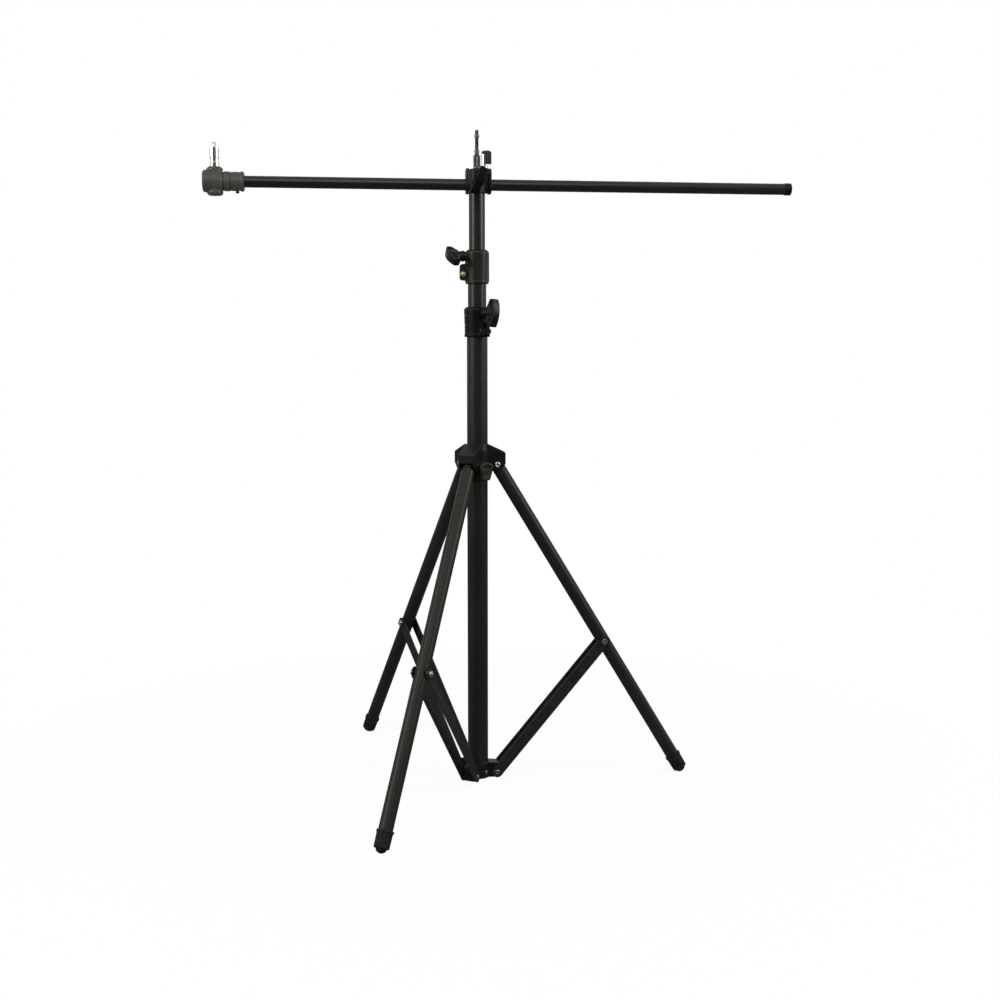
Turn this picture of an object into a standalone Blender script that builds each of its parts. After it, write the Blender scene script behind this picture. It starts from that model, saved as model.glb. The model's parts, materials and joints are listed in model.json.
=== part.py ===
"""Folding light stand with three column sections and a tilting boom arm.

Metres, +Z up. The origin is the centre of the column's bottom face, and the boom lies along X.
The stand is shown spread, with the column low and the boom level.
"""
import math
from math import asin, cos, pi, radians, sin, sqrt

import bmesh
import bpy

# Fits between pieces
SEAT_GAP = 0.0003
SLIDE_GAP = 0.0003
HINGE_GAP = 0.0004

# Column sections, closed, measured from the column's bottom face
COLUMN_WALL = 0.0016
LOWER_RADIUS = 0.0175
MIDDLE_RADIUS = 0.0155
UPPER_RADIUS = 0.0135
LOWER_LENGTH = 0.795
MIDDLE_BOTTOM = 0.065
MIDDLE_SHOWN = 0.0794
UPPER_BOTTOM = 0.175
UPPER_SHOWN = 0.0930
BASE_LIFT = 0.0075
PLUG_HEIGHT = 0.012
GUIDE_FLANGE = 0.006
GUIDE_DEPTH = 0.020

# Clamp collars at the tops of the lower and middle sections
COLLAR_WALL = 0.0040
LOWER_COLLAR_HEIGHT = 0.0482
MIDDLE_COLLAR_HEIGHT = 0.0543
COLLAR_BULGE = 0.0006
BUSH_DEPTH = 0.013
BUSH_ABOVE_TUBE = 0.0016
BUSH_LIP = 0.0012
EAR_REACH = 0.0095
EAR_WIDTH = 0.0135
SLIT_WIDTH = 0.0016
LOWER_EAR_ANGLE = -68.0
LOWER_EAR_DROP = 0.0006
LOWER_EAR_HEIGHT = 0.0235
MIDDLE_EAR_ANGLE = 180.0
MIDDLE_EAR_DROP = 0.0057
MIDDLE_EAR_HEIGHT = 0.0270
CLAMP_BOLT_RADIUS = 0.0025
NUT_RADIUS = 0.0046
NUT_HEIGHT = 0.0032
BOSS_RADIUS = 0.0075
BOSS_REACH = 0.0030
LOWER_KNOB_ANGLE = -61.0
MIDDLE_KNOB_ANGLE = -164.0
KNOB_DROP = 0.0090

# T-shaped clamp knobs
KNOB_LENGTH = 0.031
KNOB_SPAN = 0.046
KNOB_THICKNESS = 0.0130
KNOB_HUB_RADIUS = 0.0090
KNOB_WING_DEPTH = 0.0100
KNOB_TAPER = 0.0072
KNOB_CROWN = 0.0052
KNOB_CORNER = 0.0022
KNOB_SCREW_RADIUS = 0.0030
LOWER_KNOB_TURN = -6.0
MIDDLE_KNOB_TURN = 60.0
TILT_KNOB_TURN = -22.0

# Sliding crown with three yokes
LEG_ANGLES = {"a": 0.0, "b": 120.0, "c": -120.0}
CROWN_PIVOT_Z = 0.5470
CROWN_WALL = 0.0026
CROWN_RIB = 0.0011
CROWN_BELOW = 0.0270
CROWN_ABOVE = 0.0344
CROWN_SHOULDER = 0.0133
YOKE_REACH = 0.0142
YOKE_LIP = 0.0020
YOKE_LIP_BOTTOM = 0.0045
YOKE_WALL = 0.0032
YOKE_ROOF = 0.0035
YOKE_LOBE = 0.0110
LEG_PIN_RADIUS = 0.0030
LEG_PIN_HEAD = 0.0050
LEG_PIN_DOME = 0.0018
CROWN_KNOB_ANGLE = -75.0
CROWN_KNOB_DROP = 0.0012
CROWN_BOSS_RADIUS = 0.0068
CROWN_BOSS_REACH = 0.0062
PADDLE_START = 0.0378
PADDLE_DEPTH = 0.0062
PADDLE_TOP = 0.0070
PADDLE_DROP = 0.0224
PADDLE_WIDTH = 0.0232
PADDLE_TIP_WIDTH = 0.0136
PADDLE_DISH = 0.0030

# Legs
LEG_RADIUS = 0.0115
LEG_WALL = 0.0012
LEG_SPREAD = 31.08
LEG_FOLDED = 3.0
LEG_PLUG_DEPTH = 0.022
LEG_TUBE_START = 0.008
FOOT_TIP_RADIUS = 0.0085
FOOT_WALL = 0.0009
FOOT_LIP = 0.0010
FOOT_BODY = 0.0270
FOOT_NUB = -0.0010

# Braces, from the hub to the legs
BRACE_POINT = 0.3632
HUB_PIVOT_Z = 0.0093
STRIP_WIDTH = 0.019
STRIP_THICKNESS = 0.0020
HUB_HEIGHT = 0.0275
HUB_WALL = 0.0027
LUG_REACH = 0.0085
LUG_TOP = 0.0255
RIVET_RADIUS = 0.0025
RIVET_HEAD = 0.0045
RIVET_DOME = 0.0018
BRACE_BOLT_HEAD = 0.0055
BRACE_BOLT_HEIGHT = 0.0036
BRACE_NUT_HEIGHT = 0.0045
BRACE_NUT_RADIUS = 0.0052

# Top casting and its spigot
CASTING_RADIUS = 0.0140
CASTING_HEIGHT = 0.0402
CASTING_PLUG_DEPTH = 0.026
BOOM_AXIS_ABOVE = 0.0178
ROSETTE_RADIUS = 0.0130
ROSETTE_FACE = 0.0125
FRONT_BOSS_RADIUS = 0.0095
FRONT_BOSS_FACE = 0.0160
TILT_BOLT_RADIUS = 0.0038
SPIGOT_RADIUS = 0.0060
SPIGOT_BASE = 0.0216
SPIGOT_NECK_RADIUS = 0.0037
SPIGOT_NECK = 0.0053
SPIGOT_COLLAR_RADIUS = 0.0044
SPIGOT_COLLAR = 0.0028
STUD_RADIUS = 0.0032
SPIGOT_STUD = 0.0327
SHANK_RADIUS = 0.0040
SHANK_DEPTH = 0.011

# Boom holder and its lock
HOLDER_ROSETTE = 0.0034
HOLDER_LENGTH = 0.0424
HOLDER_SHIFT = 0.0058
HOLDER_BELOW = 0.0154
HOLDER_ABOVE = 0.0268
HOLDER_DEPTH = 0.0280
HOLDER_CORNER = 0.0100
HOLDER_LIP = 0.0055
HOLDER_WAIST = 0.0014
BOOM_WALL_IN_HOLDER = 0.0042
LOCK_OFFSET = 0.0162
LOCK_RADIUS = 0.0056
LOCK_HEIGHT = 0.0239
LEVER_THICKNESS = 0.0085
LEVER_REACH = 0.0118
LEVER_DROP = 0.0175
LEVER_ARM = 0.0050
LEVER_TURN = -40.0

# Boom
BOOM_RADIUS = 0.0095
BOOM_WALL = 0.0012
BOOM_LEFT = -0.4105
BOOM_RIGHT = 0.5472
CAP_LENGTH = 0.0108
CAP_END = 0.0020
CAP_WALL = 0.0005

# Swivelling head at the boom's left end
SLEEVE_RADIUS = 0.0158
BOOM_IN_SLEEVE = 0.0299
SLEEVE_LENGTH = 0.0335
SLEEVE_LIP = 0.0058
SLEEVE_GROOVE = 0.0012
SLEEVE_NECK = 0.0115
SLEEVE_SCREW_RADIUS = 0.0030
SLEEVE_SCREW_HEAD = 0.0034
SLEEVE_SCREW_AT = 0.0115
HEAD_PIVOT_RADIUS = 0.0060
HEAD_PIVOT_LENGTH = 0.0150
HEAD_RADIUS = 0.0182
HEAD_LENGTH = 0.0337
HEAD_ROUND = 0.0050
CROSS_RADIUS = 0.0132
CROSS_HEIGHT = 0.0230
CROSS_AT = 0.0200
HEAD_SPIGOT_RADIUS = 0.0079
HEAD_SPIGOT_LENGTH = 0.0322
HEAD_STUD_LENGTH = 0.0072

# Facets round a turned piece
ROUND_LARGE = 20
ROUND_MEDIUM = 16
ROUND_SMALL = 12

# Sizes that follow from the ones above
LOWER_BORE = LOWER_RADIUS - COLUMN_WALL
MIDDLE_BORE = MIDDLE_RADIUS - COLUMN_WALL
UPPER_BORE = UPPER_RADIUS - COLUMN_WALL
PIVOT_RADIUS = LOWER_RADIUS + SLIDE_GAP + CROWN_WALL + HINGE_GAP + LEG_RADIUS + 0.0001
STRIP_INNER = LEG_RADIUS + HINGE_GAP
STRIP_OUTER = STRIP_INNER + STRIP_THICKNESS
YOKE_OUTER = STRIP_INNER + YOKE_WALL
BRACE_OUT = BRACE_POINT * sin(radians(LEG_SPREAD))
BRACE_UP = CROWN_PIVOT_Z - BRACE_POINT * cos(radians(LEG_SPREAD)) - HUB_PIVOT_Z
BRACE_LENGTH = sqrt(BRACE_OUT ** 2 + BRACE_UP ** 2)
BRACE_SPREAD = math.degrees(asin(BRACE_OUT / BRACE_LENGTH))
FOOT_CENTRE = (CROWN_PIVOT_Z + BASE_LIFT - FOOT_TIP_RADIUS) / cos(radians(LEG_SPREAD))
LOWER_COLLAR_TOP = LOWER_LENGTH + BUSH_ABOVE_TUBE + BUSH_DEPTH
MIDDLE_TOP = LOWER_COLLAR_TOP + MIDDLE_SHOWN
MIDDLE_COLLAR_TOP = MIDDLE_TOP + BUSH_ABOVE_TUBE + BUSH_DEPTH
UPPER_TOP = MIDDLE_COLLAR_TOP + UPPER_SHOWN
CASTING_BOTTOM = UPPER_TOP + SEAT_GAP
BOOM_Z = CASTING_BOTTOM + BOOM_AXIS_ABOVE
SLEEVE_RIGHT = BOOM_LEFT + BOOM_IN_SLEEVE
HOLDER_FRONT = ROSETTE_FACE + SEAT_GAP + HOLDER_ROSETTE
BOOM_Y = HOLDER_FRONT + BOOM_WALL_IN_HOLDER + SLIDE_GAP + BOOM_RADIUS

# Turns that lay a piece built about Z along another axis, and that stand an outline up
ALONG_X = (0, pi / 2, 0)
ALONG_Y = (-pi / 2, 0, 0)
SIDE_ON = (pi / 2, 0, 0)
END_ON = (pi / 2, 0, pi / 2)

parts = None
cutters = None


def new_collection(name):
    """Add a collection to the scene."""
    collection = bpy.data.collections.new(name)
    bpy.context.scene.collection.children.link(collection)
    return collection


def clear_scene():
    """Remove the objects that Blender starts with."""
    for item in list(bpy.data.objects):
        bpy.data.objects.remove(item, do_unlink=True)


def finish(name, color, roughness, metallic=0.0):
    """Make a plain material."""
    material = bpy.data.materials.new(name)
    material.use_nodes = True
    shader = material.node_tree.nodes["Principled BSDF"]
    shader.inputs["Base Color"].default_value = (*color, 1.0)
    shader.inputs["Roughness"].default_value = roughness
    shader.inputs["Metallic"].default_value = metallic
    return material


def axis(name, parent=None, at=(0, 0, 0), turn=(0, 0, 0)):
    """Add an empty that carries the pieces of one moving body."""
    empty = bpy.data.objects.new(name, None)
    empty.location = at
    empty.rotation_euler = turn
    empty.parent = parent
    empty.empty_display_size = 0.02
    parts.objects.link(empty)
    return empty


def place(obj, parent, at, turn, material):
    """Put a piece under its parent and give it its material."""
    obj.parent = parent
    obj.location = at
    obj.rotation_euler = turn
    if material is not None:
        obj.data.materials.clear()
        obj.data.materials.append(material)
    return obj


def turned(name, profile, parent=None, at=(0, 0, 0), turn=(0, 0, 0), material=None,
           steps=ROUND_MEDIUM, hollow=False, phase=0.0):
    """Turn a profile of (radius, height) points, top to bottom on its outer side, about Z."""
    mesh = bpy.data.meshes.new(name)
    edges = [(i, i + 1) for i in range(len(profile) - 1)]
    if hollow:
        edges.append((len(profile) - 1, 0))
    mesh.from_pydata([(r * cos(phase), r * sin(phase), z) for r, z in profile], edges, [])
    obj = bpy.data.objects.new(name, mesh)
    parts.objects.link(obj)
    screw = obj.modifiers.new("turn", "SCREW")
    screw.steps = steps
    screw.render_steps = steps
    screw.use_merge_vertices = True
    screw.merge_threshold = 0.00001
    screw.use_smooth_shade = True
    return place(obj, parent, at, turn, material)


def tube(name, outer, inner, bottom, top, parent=None, material=None, steps=ROUND_LARGE):
    """A straight tube, open at both ends."""
    ring = [(outer, top), (outer, bottom), (inner, bottom), (inner, top)]
    return turned(name, ring, parent, material=material, steps=steps, hollow=True)


def plate(name, outline, thickness, parent=None, at=(0, 0, 0), turn=(0, 0, 0), material=None,
          holes=()):
    """A flat piece with a given outline and round holes, centred on its own XY plane."""
    curve = bpy.data.curves.new(name, "CURVE")
    curve.dimensions = "2D"
    curve.fill_mode = "BOTH"
    curve.extrude = thickness / 2
    loops = [outline]
    for x, y, radius in holes:
        loops.append(arc(x, y, radius, 0, 360 - 360 / ROUND_SMALL, ROUND_SMALL - 1))
    for loop in loops:
        spline = curve.splines.new("POLY")
        spline.points.add(len(loop) - 1)
        for point, (x, y) in zip(spline.points, loop):
            point.co = (x, y, 0, 1)
        spline.use_cyclic_u = True
    flat = bpy.data.objects.new(name + "_outline", curve)
    parts.objects.link(flat)
    bpy.context.view_layer.update()
    ready = flat.evaluated_get(bpy.context.evaluated_depsgraph_get())
    mesh = bpy.data.meshes.new_from_object(ready)
    bpy.data.objects.remove(flat, do_unlink=True)
    shape = bmesh.new()
    shape.from_mesh(mesh)
    bmesh.ops.remove_doubles(shape, verts=shape.verts, dist=0.00001)
    if not holes:
        bmesh.ops.dissolve_limit(shape, angle_limit=radians(0.5), verts=shape.verts,
                                 edges=shape.edges)
    bmesh.ops.recalc_face_normals(shape, faces=shape.faces)
    shape.to_mesh(mesh)
    shape.free()
    obj = bpy.data.objects.new(name, mesh)
    parts.objects.link(obj)
    return place(obj, parent, at, turn, material)


def rod(name, radius, start, end, parent=None, at=(0, 0, 0), turn=(0, 0, 0), material=None,
        steps=ROUND_SMALL):
    """A plain round bar along its own Z, its facets turned off those of other pieces."""
    return turned(name, [(0, end), (radius, end), (radius, start), (0, start)],
                  parent, at, turn, material, steps, phase=radians(4))


def boolean(target, tool, operation):
    """Join a hidden solid to a piece, or cut it away."""
    parts.objects.unlink(tool)
    cutters.objects.link(tool)
    tool.hide_render = True
    tool.display_type = "WIRE"
    step = target.modifiers.new(operation.lower(), "BOOLEAN")
    step.operation = operation
    step.solver = "EXACT"
    step.object = tool


def join(target, *tools):
    """Join solids to a piece."""
    for tool in tools:
        boolean(target, tool, "UNION")


def cut(target, *tools):
    """Cut solids out of a piece, then merge the points that meet."""
    for tool in tools:
        boolean(target, tool, "DIFFERENCE")
    weld = target.modifiers.new("weld", "WELD")
    weld.merge_threshold = 0.00002


def soften(obj, width, segments=1):
    """Round the sharp edges of a piece."""
    bevel = obj.modifiers.new("bevel", "BEVEL")
    bevel.width = width
    bevel.segments = segments
    bevel.limit_method = "ANGLE"
    bevel.angle_limit = radians(50)


def arc(x, y, radius, start, end, count):
    """Points on an arc, with angles in degrees."""
    step = (end - start) / count
    return [(x + radius * cos(radians(start + i * step)),
             y + radius * sin(radians(start + i * step))) for i in range(count + 1)]


def box_outline(x0, x1, y0, y1):
    """The corners of a rectangle."""
    return [(x0, y0), (x1, y0), (x1, y1), (x0, y1)]


def round_box(x0, x1, y0, y1, radius, count=3):
    """A rectangle with round corners."""
    points = arc(x1 - radius, y0 + radius, radius, -90, 0, count)
    points += arc(x1 - radius, y1 - radius, radius, 0, 90, count)
    points += arc(x0 + radius, y1 - radius, radius, 90, 180, count)
    points += arc(x0 + radius, y0 + radius, radius, 180, 270, count)
    return points


def dome(radius, base, height, count=2):
    """Profile of a low dome over a disc, from its top down to its rim."""
    return [(radius * sin(pi / 2 * i / count), base + height * cos(pi / 2 * i / count))
            for i in range(count + 1)]


def rivet(name, parent, shank, head, height, reach, material, at=(0, 0, 0)):
    """A rivet along its parent's Y, with a dome head on each side."""
    top = dome(head, reach, height)
    bottom = [(r, -z) for r, z in reversed(top)]
    profile = top + [(shank, reach), (shank, -reach)] + bottom
    return turned(name, profile, parent, at, ALONG_Y, material, ROUND_SMALL)


def build_columns(looks):
    """The three tubes with the plug at the foot and the guides at their lower ends."""
    tube("lower_column", LOWER_RADIUS, LOWER_BORE, 0, LOWER_LENGTH, material=looks["tube"])
    rod("column_plug", LOWER_BORE - SEAT_GAP, 0, PLUG_HEIGHT, material=looks["plastic"],
        steps=ROUND_LARGE)
    middle = axis("middle_slide_axis")
    tube("middle_column", MIDDLE_RADIUS, MIDDLE_BORE, MIDDLE_BOTTOM, MIDDLE_TOP, middle,
         looks["tube"])
    guide("middle_guide", LOWER_BORE - SLIDE_GAP, MIDDLE_BORE - SEAT_GAP, MIDDLE_BOTTOM,
          middle, looks["plastic"])
    upper = axis("upper_slide_axis", middle)
    tube("upper_column", UPPER_RADIUS, UPPER_BORE, UPPER_BOTTOM, UPPER_TOP, upper,
         looks["tube"])
    guide("upper_guide", MIDDLE_BORE - SLIDE_GAP, UPPER_BORE - SEAT_GAP, UPPER_BOTTOM,
          upper, looks["plastic"])
    return middle, upper


def guide(name, flange, spigot, bottom, parent, material):
    """Plastic guide pushed into the lower end of a tube, running inside the next tube down."""
    seat = bottom - SEAT_GAP
    bore = spigot - 0.002
    profile = [(spigot, bottom + GUIDE_DEPTH), (spigot, seat), (flange, seat),
               (flange, seat - GUIDE_FLANGE), (bore, seat - GUIDE_FLANGE),
               (bore, bottom + GUIDE_DEPTH)]
    turned(name, profile, parent, material=material, steps=ROUND_LARGE, hollow=True)


def build_collar(name, inner, column, top, height, knob_angle, knob_turn, ear_angle, drop,
                 ear_height, parent, looks):
    """Clamp collar on the top of one column section, with its bush, clamp bolt, nut and knob."""
    bore = column + SEAT_GAP
    outer = column + COLLAR_WALL
    bottom = top - height
    profile = [(0, top), (outer - 0.0012, top), (outer, top - 0.0015),
               (outer + COLLAR_BULGE, bottom + height * 0.55), (outer, bottom + 0.0020),
               (outer - 0.0014, bottom), (0, bottom)]
    collar = turned(name, profile, parent, material=looks["casting"], steps=ROUND_LARGE)

    # Boss that the knob's screw runs through
    knob_z = top - KNOB_DROP
    knob_turn_z = (0, 0, radians(knob_angle))
    seat = outer + BOSS_REACH
    knob_axis = axis(name.replace("collar", "knob_axis"), parent, (0, 0, knob_z), knob_turn_z)
    boss = turned(name + "_boss", [(0, seat), (BOSS_RADIUS - 0.001, seat),
                                   (BOSS_RADIUS, seat - 0.001), (BOSS_RADIUS, column),
                                   (0, column)], knob_axis, (0, 0, 0), ALONG_X)
    join(collar, boss)

    # Split ears below it
    ear_axis = axis(name + "_ear_axis", parent, (0, 0, bottom + drop), (0, 0, radians(ear_angle)))
    ear_end = outer + EAR_REACH
    round_end = round_box(column, ear_end, 0, ear_height, EAR_REACH * 0.45)[:8]
    ear_shape = round_end + [(column - 0.002, ear_height), (column - 0.002, 0)]
    ears = plate(name + "_ears", ear_shape, EAR_WIDTH, ear_axis, (0, 0, 0), SIDE_ON)
    join(collar, ears)
    slit = plate(name + "_slit", box_outline(0, ear_end + 0.002, -drop - 0.002,
                                             ear_height + 0.0015),
                 SLIT_WIDTH, ear_axis, (0, 0, 0), SIDE_ON)
    bore_tool = rod(name + "_bore", bore, bottom - 0.002, top + 0.002, parent,
                    steps=ROUND_LARGE)
    bolt_at = (ear_end - EAR_REACH * 0.5, 0, ear_height * 0.38)
    bolt_hole = rod(name + "_bolt_hole", CLAMP_BOLT_RADIUS + SEAT_GAP, -EAR_WIDTH, EAR_WIDTH,
                    ear_axis, bolt_at, ALONG_Y)
    screw_hole = rod(name + "_screw_hole", KNOB_SCREW_RADIUS + SEAT_GAP, 0, seat + 0.005,
                     knob_axis, (0, 0, 0), ALONG_X)
    cut(collar, bore_tool, slit, bolt_hole, screw_hole)

    # Bush between the collar and the tube that slides in it
    bush_top = top + SEAT_GAP
    bush_bore = inner + SLIDE_GAP
    bush = [(bush_bore, bush_top + BUSH_LIP), (column, bush_top + BUSH_LIP),
            (column + 0.0012, bush_top), (column, bush_top), (column, top - BUSH_DEPTH),
            (bush_bore, top - BUSH_DEPTH)]
    bush_ring = turned(name + "_bush", bush, parent, material=looks["plastic"],
                       steps=ROUND_LARGE, hollow=True)
    bush_hole = rod(name + "_bush_hole", KNOB_SCREW_RADIUS + SEAT_GAP, 0, seat, knob_axis,
                    (0, 0, 0), ALONG_X)
    cut(bush_ring, bush_hole)

    # Clamp bolt across the ears
    side = EAR_WIDTH / 2 + SEAT_GAP
    head = dome(0.0042, side, 0.0024)
    nut_end = side + NUT_HEIGHT
    turned(name + "_bolt", [(0, nut_end + 0.0010), (CLAMP_BOLT_RADIUS, nut_end + 0.0010),
                            (CLAMP_BOLT_RADIUS, -side)] + [(r, -z) for r, z in reversed(head)],
           ear_axis, bolt_at, ALONG_Y, looks["steel"], ROUND_SMALL)
    plate(name + "_nut", arc(0, 0, NUT_RADIUS, 30, 330, 5), NUT_HEIGHT, ear_axis,
          (bolt_at[0], side + NUT_HEIGHT / 2, bolt_at[2]), SIDE_ON, looks["steel"],
          ((0, 0, CLAMP_BOLT_RADIUS + SEAT_GAP),))

    # The screw's tip presses on the bush, 2 mm off the tube that slides in it
    build_t_knob(name.replace("collar", "knob"), knob_axis, seat + SEAT_GAP, column, knob_turn,
                 looks["plastic"])


def build_t_knob(name, parent, seat, screw_tip, turn, material):
    """T-shaped knob whose screw runs along its parent's X, with its bar turned about it."""
    end = seat + KNOB_LENGTH
    frame = axis(name + "_turn", parent, (0, 0, 0), (radians(turn), 0, 0))
    hub = [(0, end - 0.006), (KNOB_HUB_RADIUS, end - 0.006),
           (KNOB_HUB_RADIUS - 0.0008, seat + 0.010), (KNOB_HUB_RADIUS, seat + 0.0015),
           (KNOB_HUB_RADIUS - 0.001, seat)]
    if screw_tip < seat:
        hub += [(KNOB_SCREW_RADIUS, seat), (KNOB_SCREW_RADIUS, screw_tip), (0, screw_tip)]
    else:
        hub += [(0, seat)]
    knob = turned(name, hub, frame, (0, 0, 0), ALONG_X, material, ROUND_SMALL)
    bar = plate(name + "_bar", wing_outline(end), KNOB_THICKNESS, frame, (0, 0, 0), SIDE_ON)
    soften(bar, 0.0018, 2)
    join(knob, bar)
    return knob


def wing_outline(end):
    """The crowned bar of a T knob, seen from its side: X runs out along the screw."""
    half = KNOB_SPAN / 2
    tip = end - KNOB_CROWN
    back = tip - KNOB_WING_DEPTH
    rise = half - KNOB_CORNER
    radius = (rise ** 2 + KNOB_CROWN ** 2) / (2 * KNOB_CROWN)
    sweep = math.degrees(asin(rise / radius))
    front = arc(end - radius, 0, radius, -sweep, sweep, 6)
    upper = arc(tip - KNOB_CORNER, half - KNOB_CORNER, KNOB_CORNER, 45, 90, 1)
    upper += [(back + 0.001, half), (back, half - 0.001)]
    lower = [(x, -y) for x, y in reversed(upper)]
    inner = [(back - KNOB_TAPER, KNOB_HUB_RADIUS), (back - KNOB_TAPER, -KNOB_HUB_RADIUS)]
    return front + upper + inner + lower


def build_crown(looks):
    """Sliding crown: a ring with three yokes, its rivets and its lever knob."""
    crown = axis("crown_slide_axis", None, (0, 0, CROWN_PIVOT_Z))
    bore = LOWER_RADIUS + SLIDE_GAP
    web = bore + CROWN_WALL
    ring = web + CROWN_RIB
    shoulder = CROWN_ABOVE - CROWN_SHOULDER * 0.7
    profile = [(0, CROWN_ABOVE), (bore + 0.0016, CROWN_ABOVE), (ring, shoulder),
               (ring, -CROWN_BELOW + 0.0015), (ring - 0.0015, -CROWN_BELOW),
               (0, -CROWN_BELOW)]
    casting = turned("crown_casting", profile, crown, material=looks["casting"],
                     steps=ROUND_LARGE)
    reach = PIVOT_RADIUS + YOKE_REACH
    drop = CROWN_ABOVE - CROWN_SHOULDER
    for key, angle in LEG_ANGLES.items():
        frame = axis("crown_yoke_" + key, crown, (0, 0, 0), (0, 0, radians(angle)))
        outline = yoke_outline(reach, drop)
        join(casting, plate("crown_block_" + key, outline, 2 * YOKE_OUTER, frame, (0, 0, 0),
                            SIDE_ON))
    for key, angle in LEG_ANGLES.items():
        frame = bpy.data.objects["crown_yoke_" + key]
        slope = CROWN_SHOULDER / (reach - web)
        inner_roof = CROWN_ABOVE - YOKE_ROOF
        lip = reach - YOKE_LIP
        lip_roof = inner_roof - slope * (lip - web)
        pocket = [(web, -CROWN_BELOW - 0.010), (reach + 0.010, -CROWN_BELOW - 0.010),
                  (reach + 0.010, YOKE_LIP_BOTTOM), (lip, YOKE_LIP_BOTTOM), (lip, lip_roof),
                  (web, inner_roof)]
        cut(casting, plate("crown_pocket_" + key, pocket, 2 * STRIP_INNER, frame, (0, 0, 0),
                           SIDE_ON))
        cut(casting, rod("crown_pin_hole_" + key, LEG_PIN_RADIUS + SEAT_GAP, -0.02, 0.02, frame,
                         (PIVOT_RADIUS, 0, 0), ALONG_Y))
        rivet("leg_pin_" + key, frame, LEG_PIN_RADIUS, LEG_PIN_HEAD, LEG_PIN_DOME,
              YOKE_OUTER + SEAT_GAP, looks["steel"], (PIVOT_RADIUS, 0, 0))

    # Lock screw's boss and bore
    knob_axis = axis("crown_knob_axis", crown, (0, 0, -CROWN_KNOB_DROP),
                     (0, 0, radians(CROWN_KNOB_ANGLE)))
    seat = ring + CROWN_BOSS_REACH
    join(casting, rod("crown_boss", CROWN_BOSS_RADIUS, bore, seat, knob_axis, (0, 0, 0), ALONG_X))
    cut(casting, rod("crown_bore", bore, -CROWN_BELOW - 0.002, CROWN_ABOVE + 0.002, crown,
                     steps=ROUND_LARGE),
        rod("crown_screw_hole", KNOB_SCREW_RADIUS + SEAT_GAP, 0, seat + 0.002, knob_axis,
            (0, 0, 0), ALONG_X))
    build_lever_knob(knob_axis, seat + SEAT_GAP, bore, looks["plastic"])
    return crown


def yoke_outline(reach, drop):
    """One yoke's cheek, seen from its side: X runs out from the column, Y runs up."""
    outline = [(PIVOT_RADIUS - 0.020, CROWN_ABOVE), (LOWER_RADIUS + 0.0015, CROWN_ABOVE)]
    outline = outline[::-1]
    lobe = arc(PIVOT_RADIUS, 0, YOKE_LOBE, -140, -20, 5)
    return ([outline[1]] + [(PIVOT_RADIUS - 0.020, -YOKE_LOBE - 0.002)] + lobe
            + [(reach, 0.001), (reach, drop - 0.0015), (reach - 0.001, drop)] + [outline[0]])


def build_lever_knob(parent, seat, screw_tip, material):
    """Lever knob of the crown: a tapered paddle with an oval dish, hanging from its screw."""
    end = PADDLE_START + PADDLE_DEPTH
    hub = CROWN_BOSS_RADIUS - 0.0010
    knob = turned("crown_knob", [
        (0, PADDLE_START + 0.002), (hub, PADDLE_START + 0.002), (hub - 0.0006, seat),
        (KNOB_SCREW_RADIUS, seat), (KNOB_SCREW_RADIUS, screw_tip), (0, screw_tip)],
        parent, (0, 0, 0), ALONG_X, material, ROUND_SMALL)
    half = PADDLE_WIDTH / 2
    tip = PADDLE_TIP_WIDTH / 2
    top = [(half * cos(radians(a)), PADDLE_TOP * sin(radians(a))) for a in range(0, 181, 30)]
    paddle = top + [(-half * 0.94, -0.0040), (-tip, -PADDLE_DROP + 0.0025),
                    (-tip * 0.6, -PADDLE_DROP), (tip * 0.6, -PADDLE_DROP),
                    (tip, -PADDLE_DROP + 0.0025), (half * 0.94, -0.0040)]
    lever = plate("crown_paddle", paddle, PADDLE_DEPTH, parent,
                  (PADDLE_START + PADDLE_DEPTH / 2, 0, 0), END_ON)
    soften(lever, 0.0010)
    join(knob, lever)
    dish = [(half * 0.74 * cos(radians(a)), PADDLE_TOP * 0.58 * sin(radians(a)) - 0.0004)
            for a in range(0, 360, 30)]
    cut(knob, plate("crown_dish", dish, 2 * PADDLE_DISH, parent, (end, 0, 0), END_ON))


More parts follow.
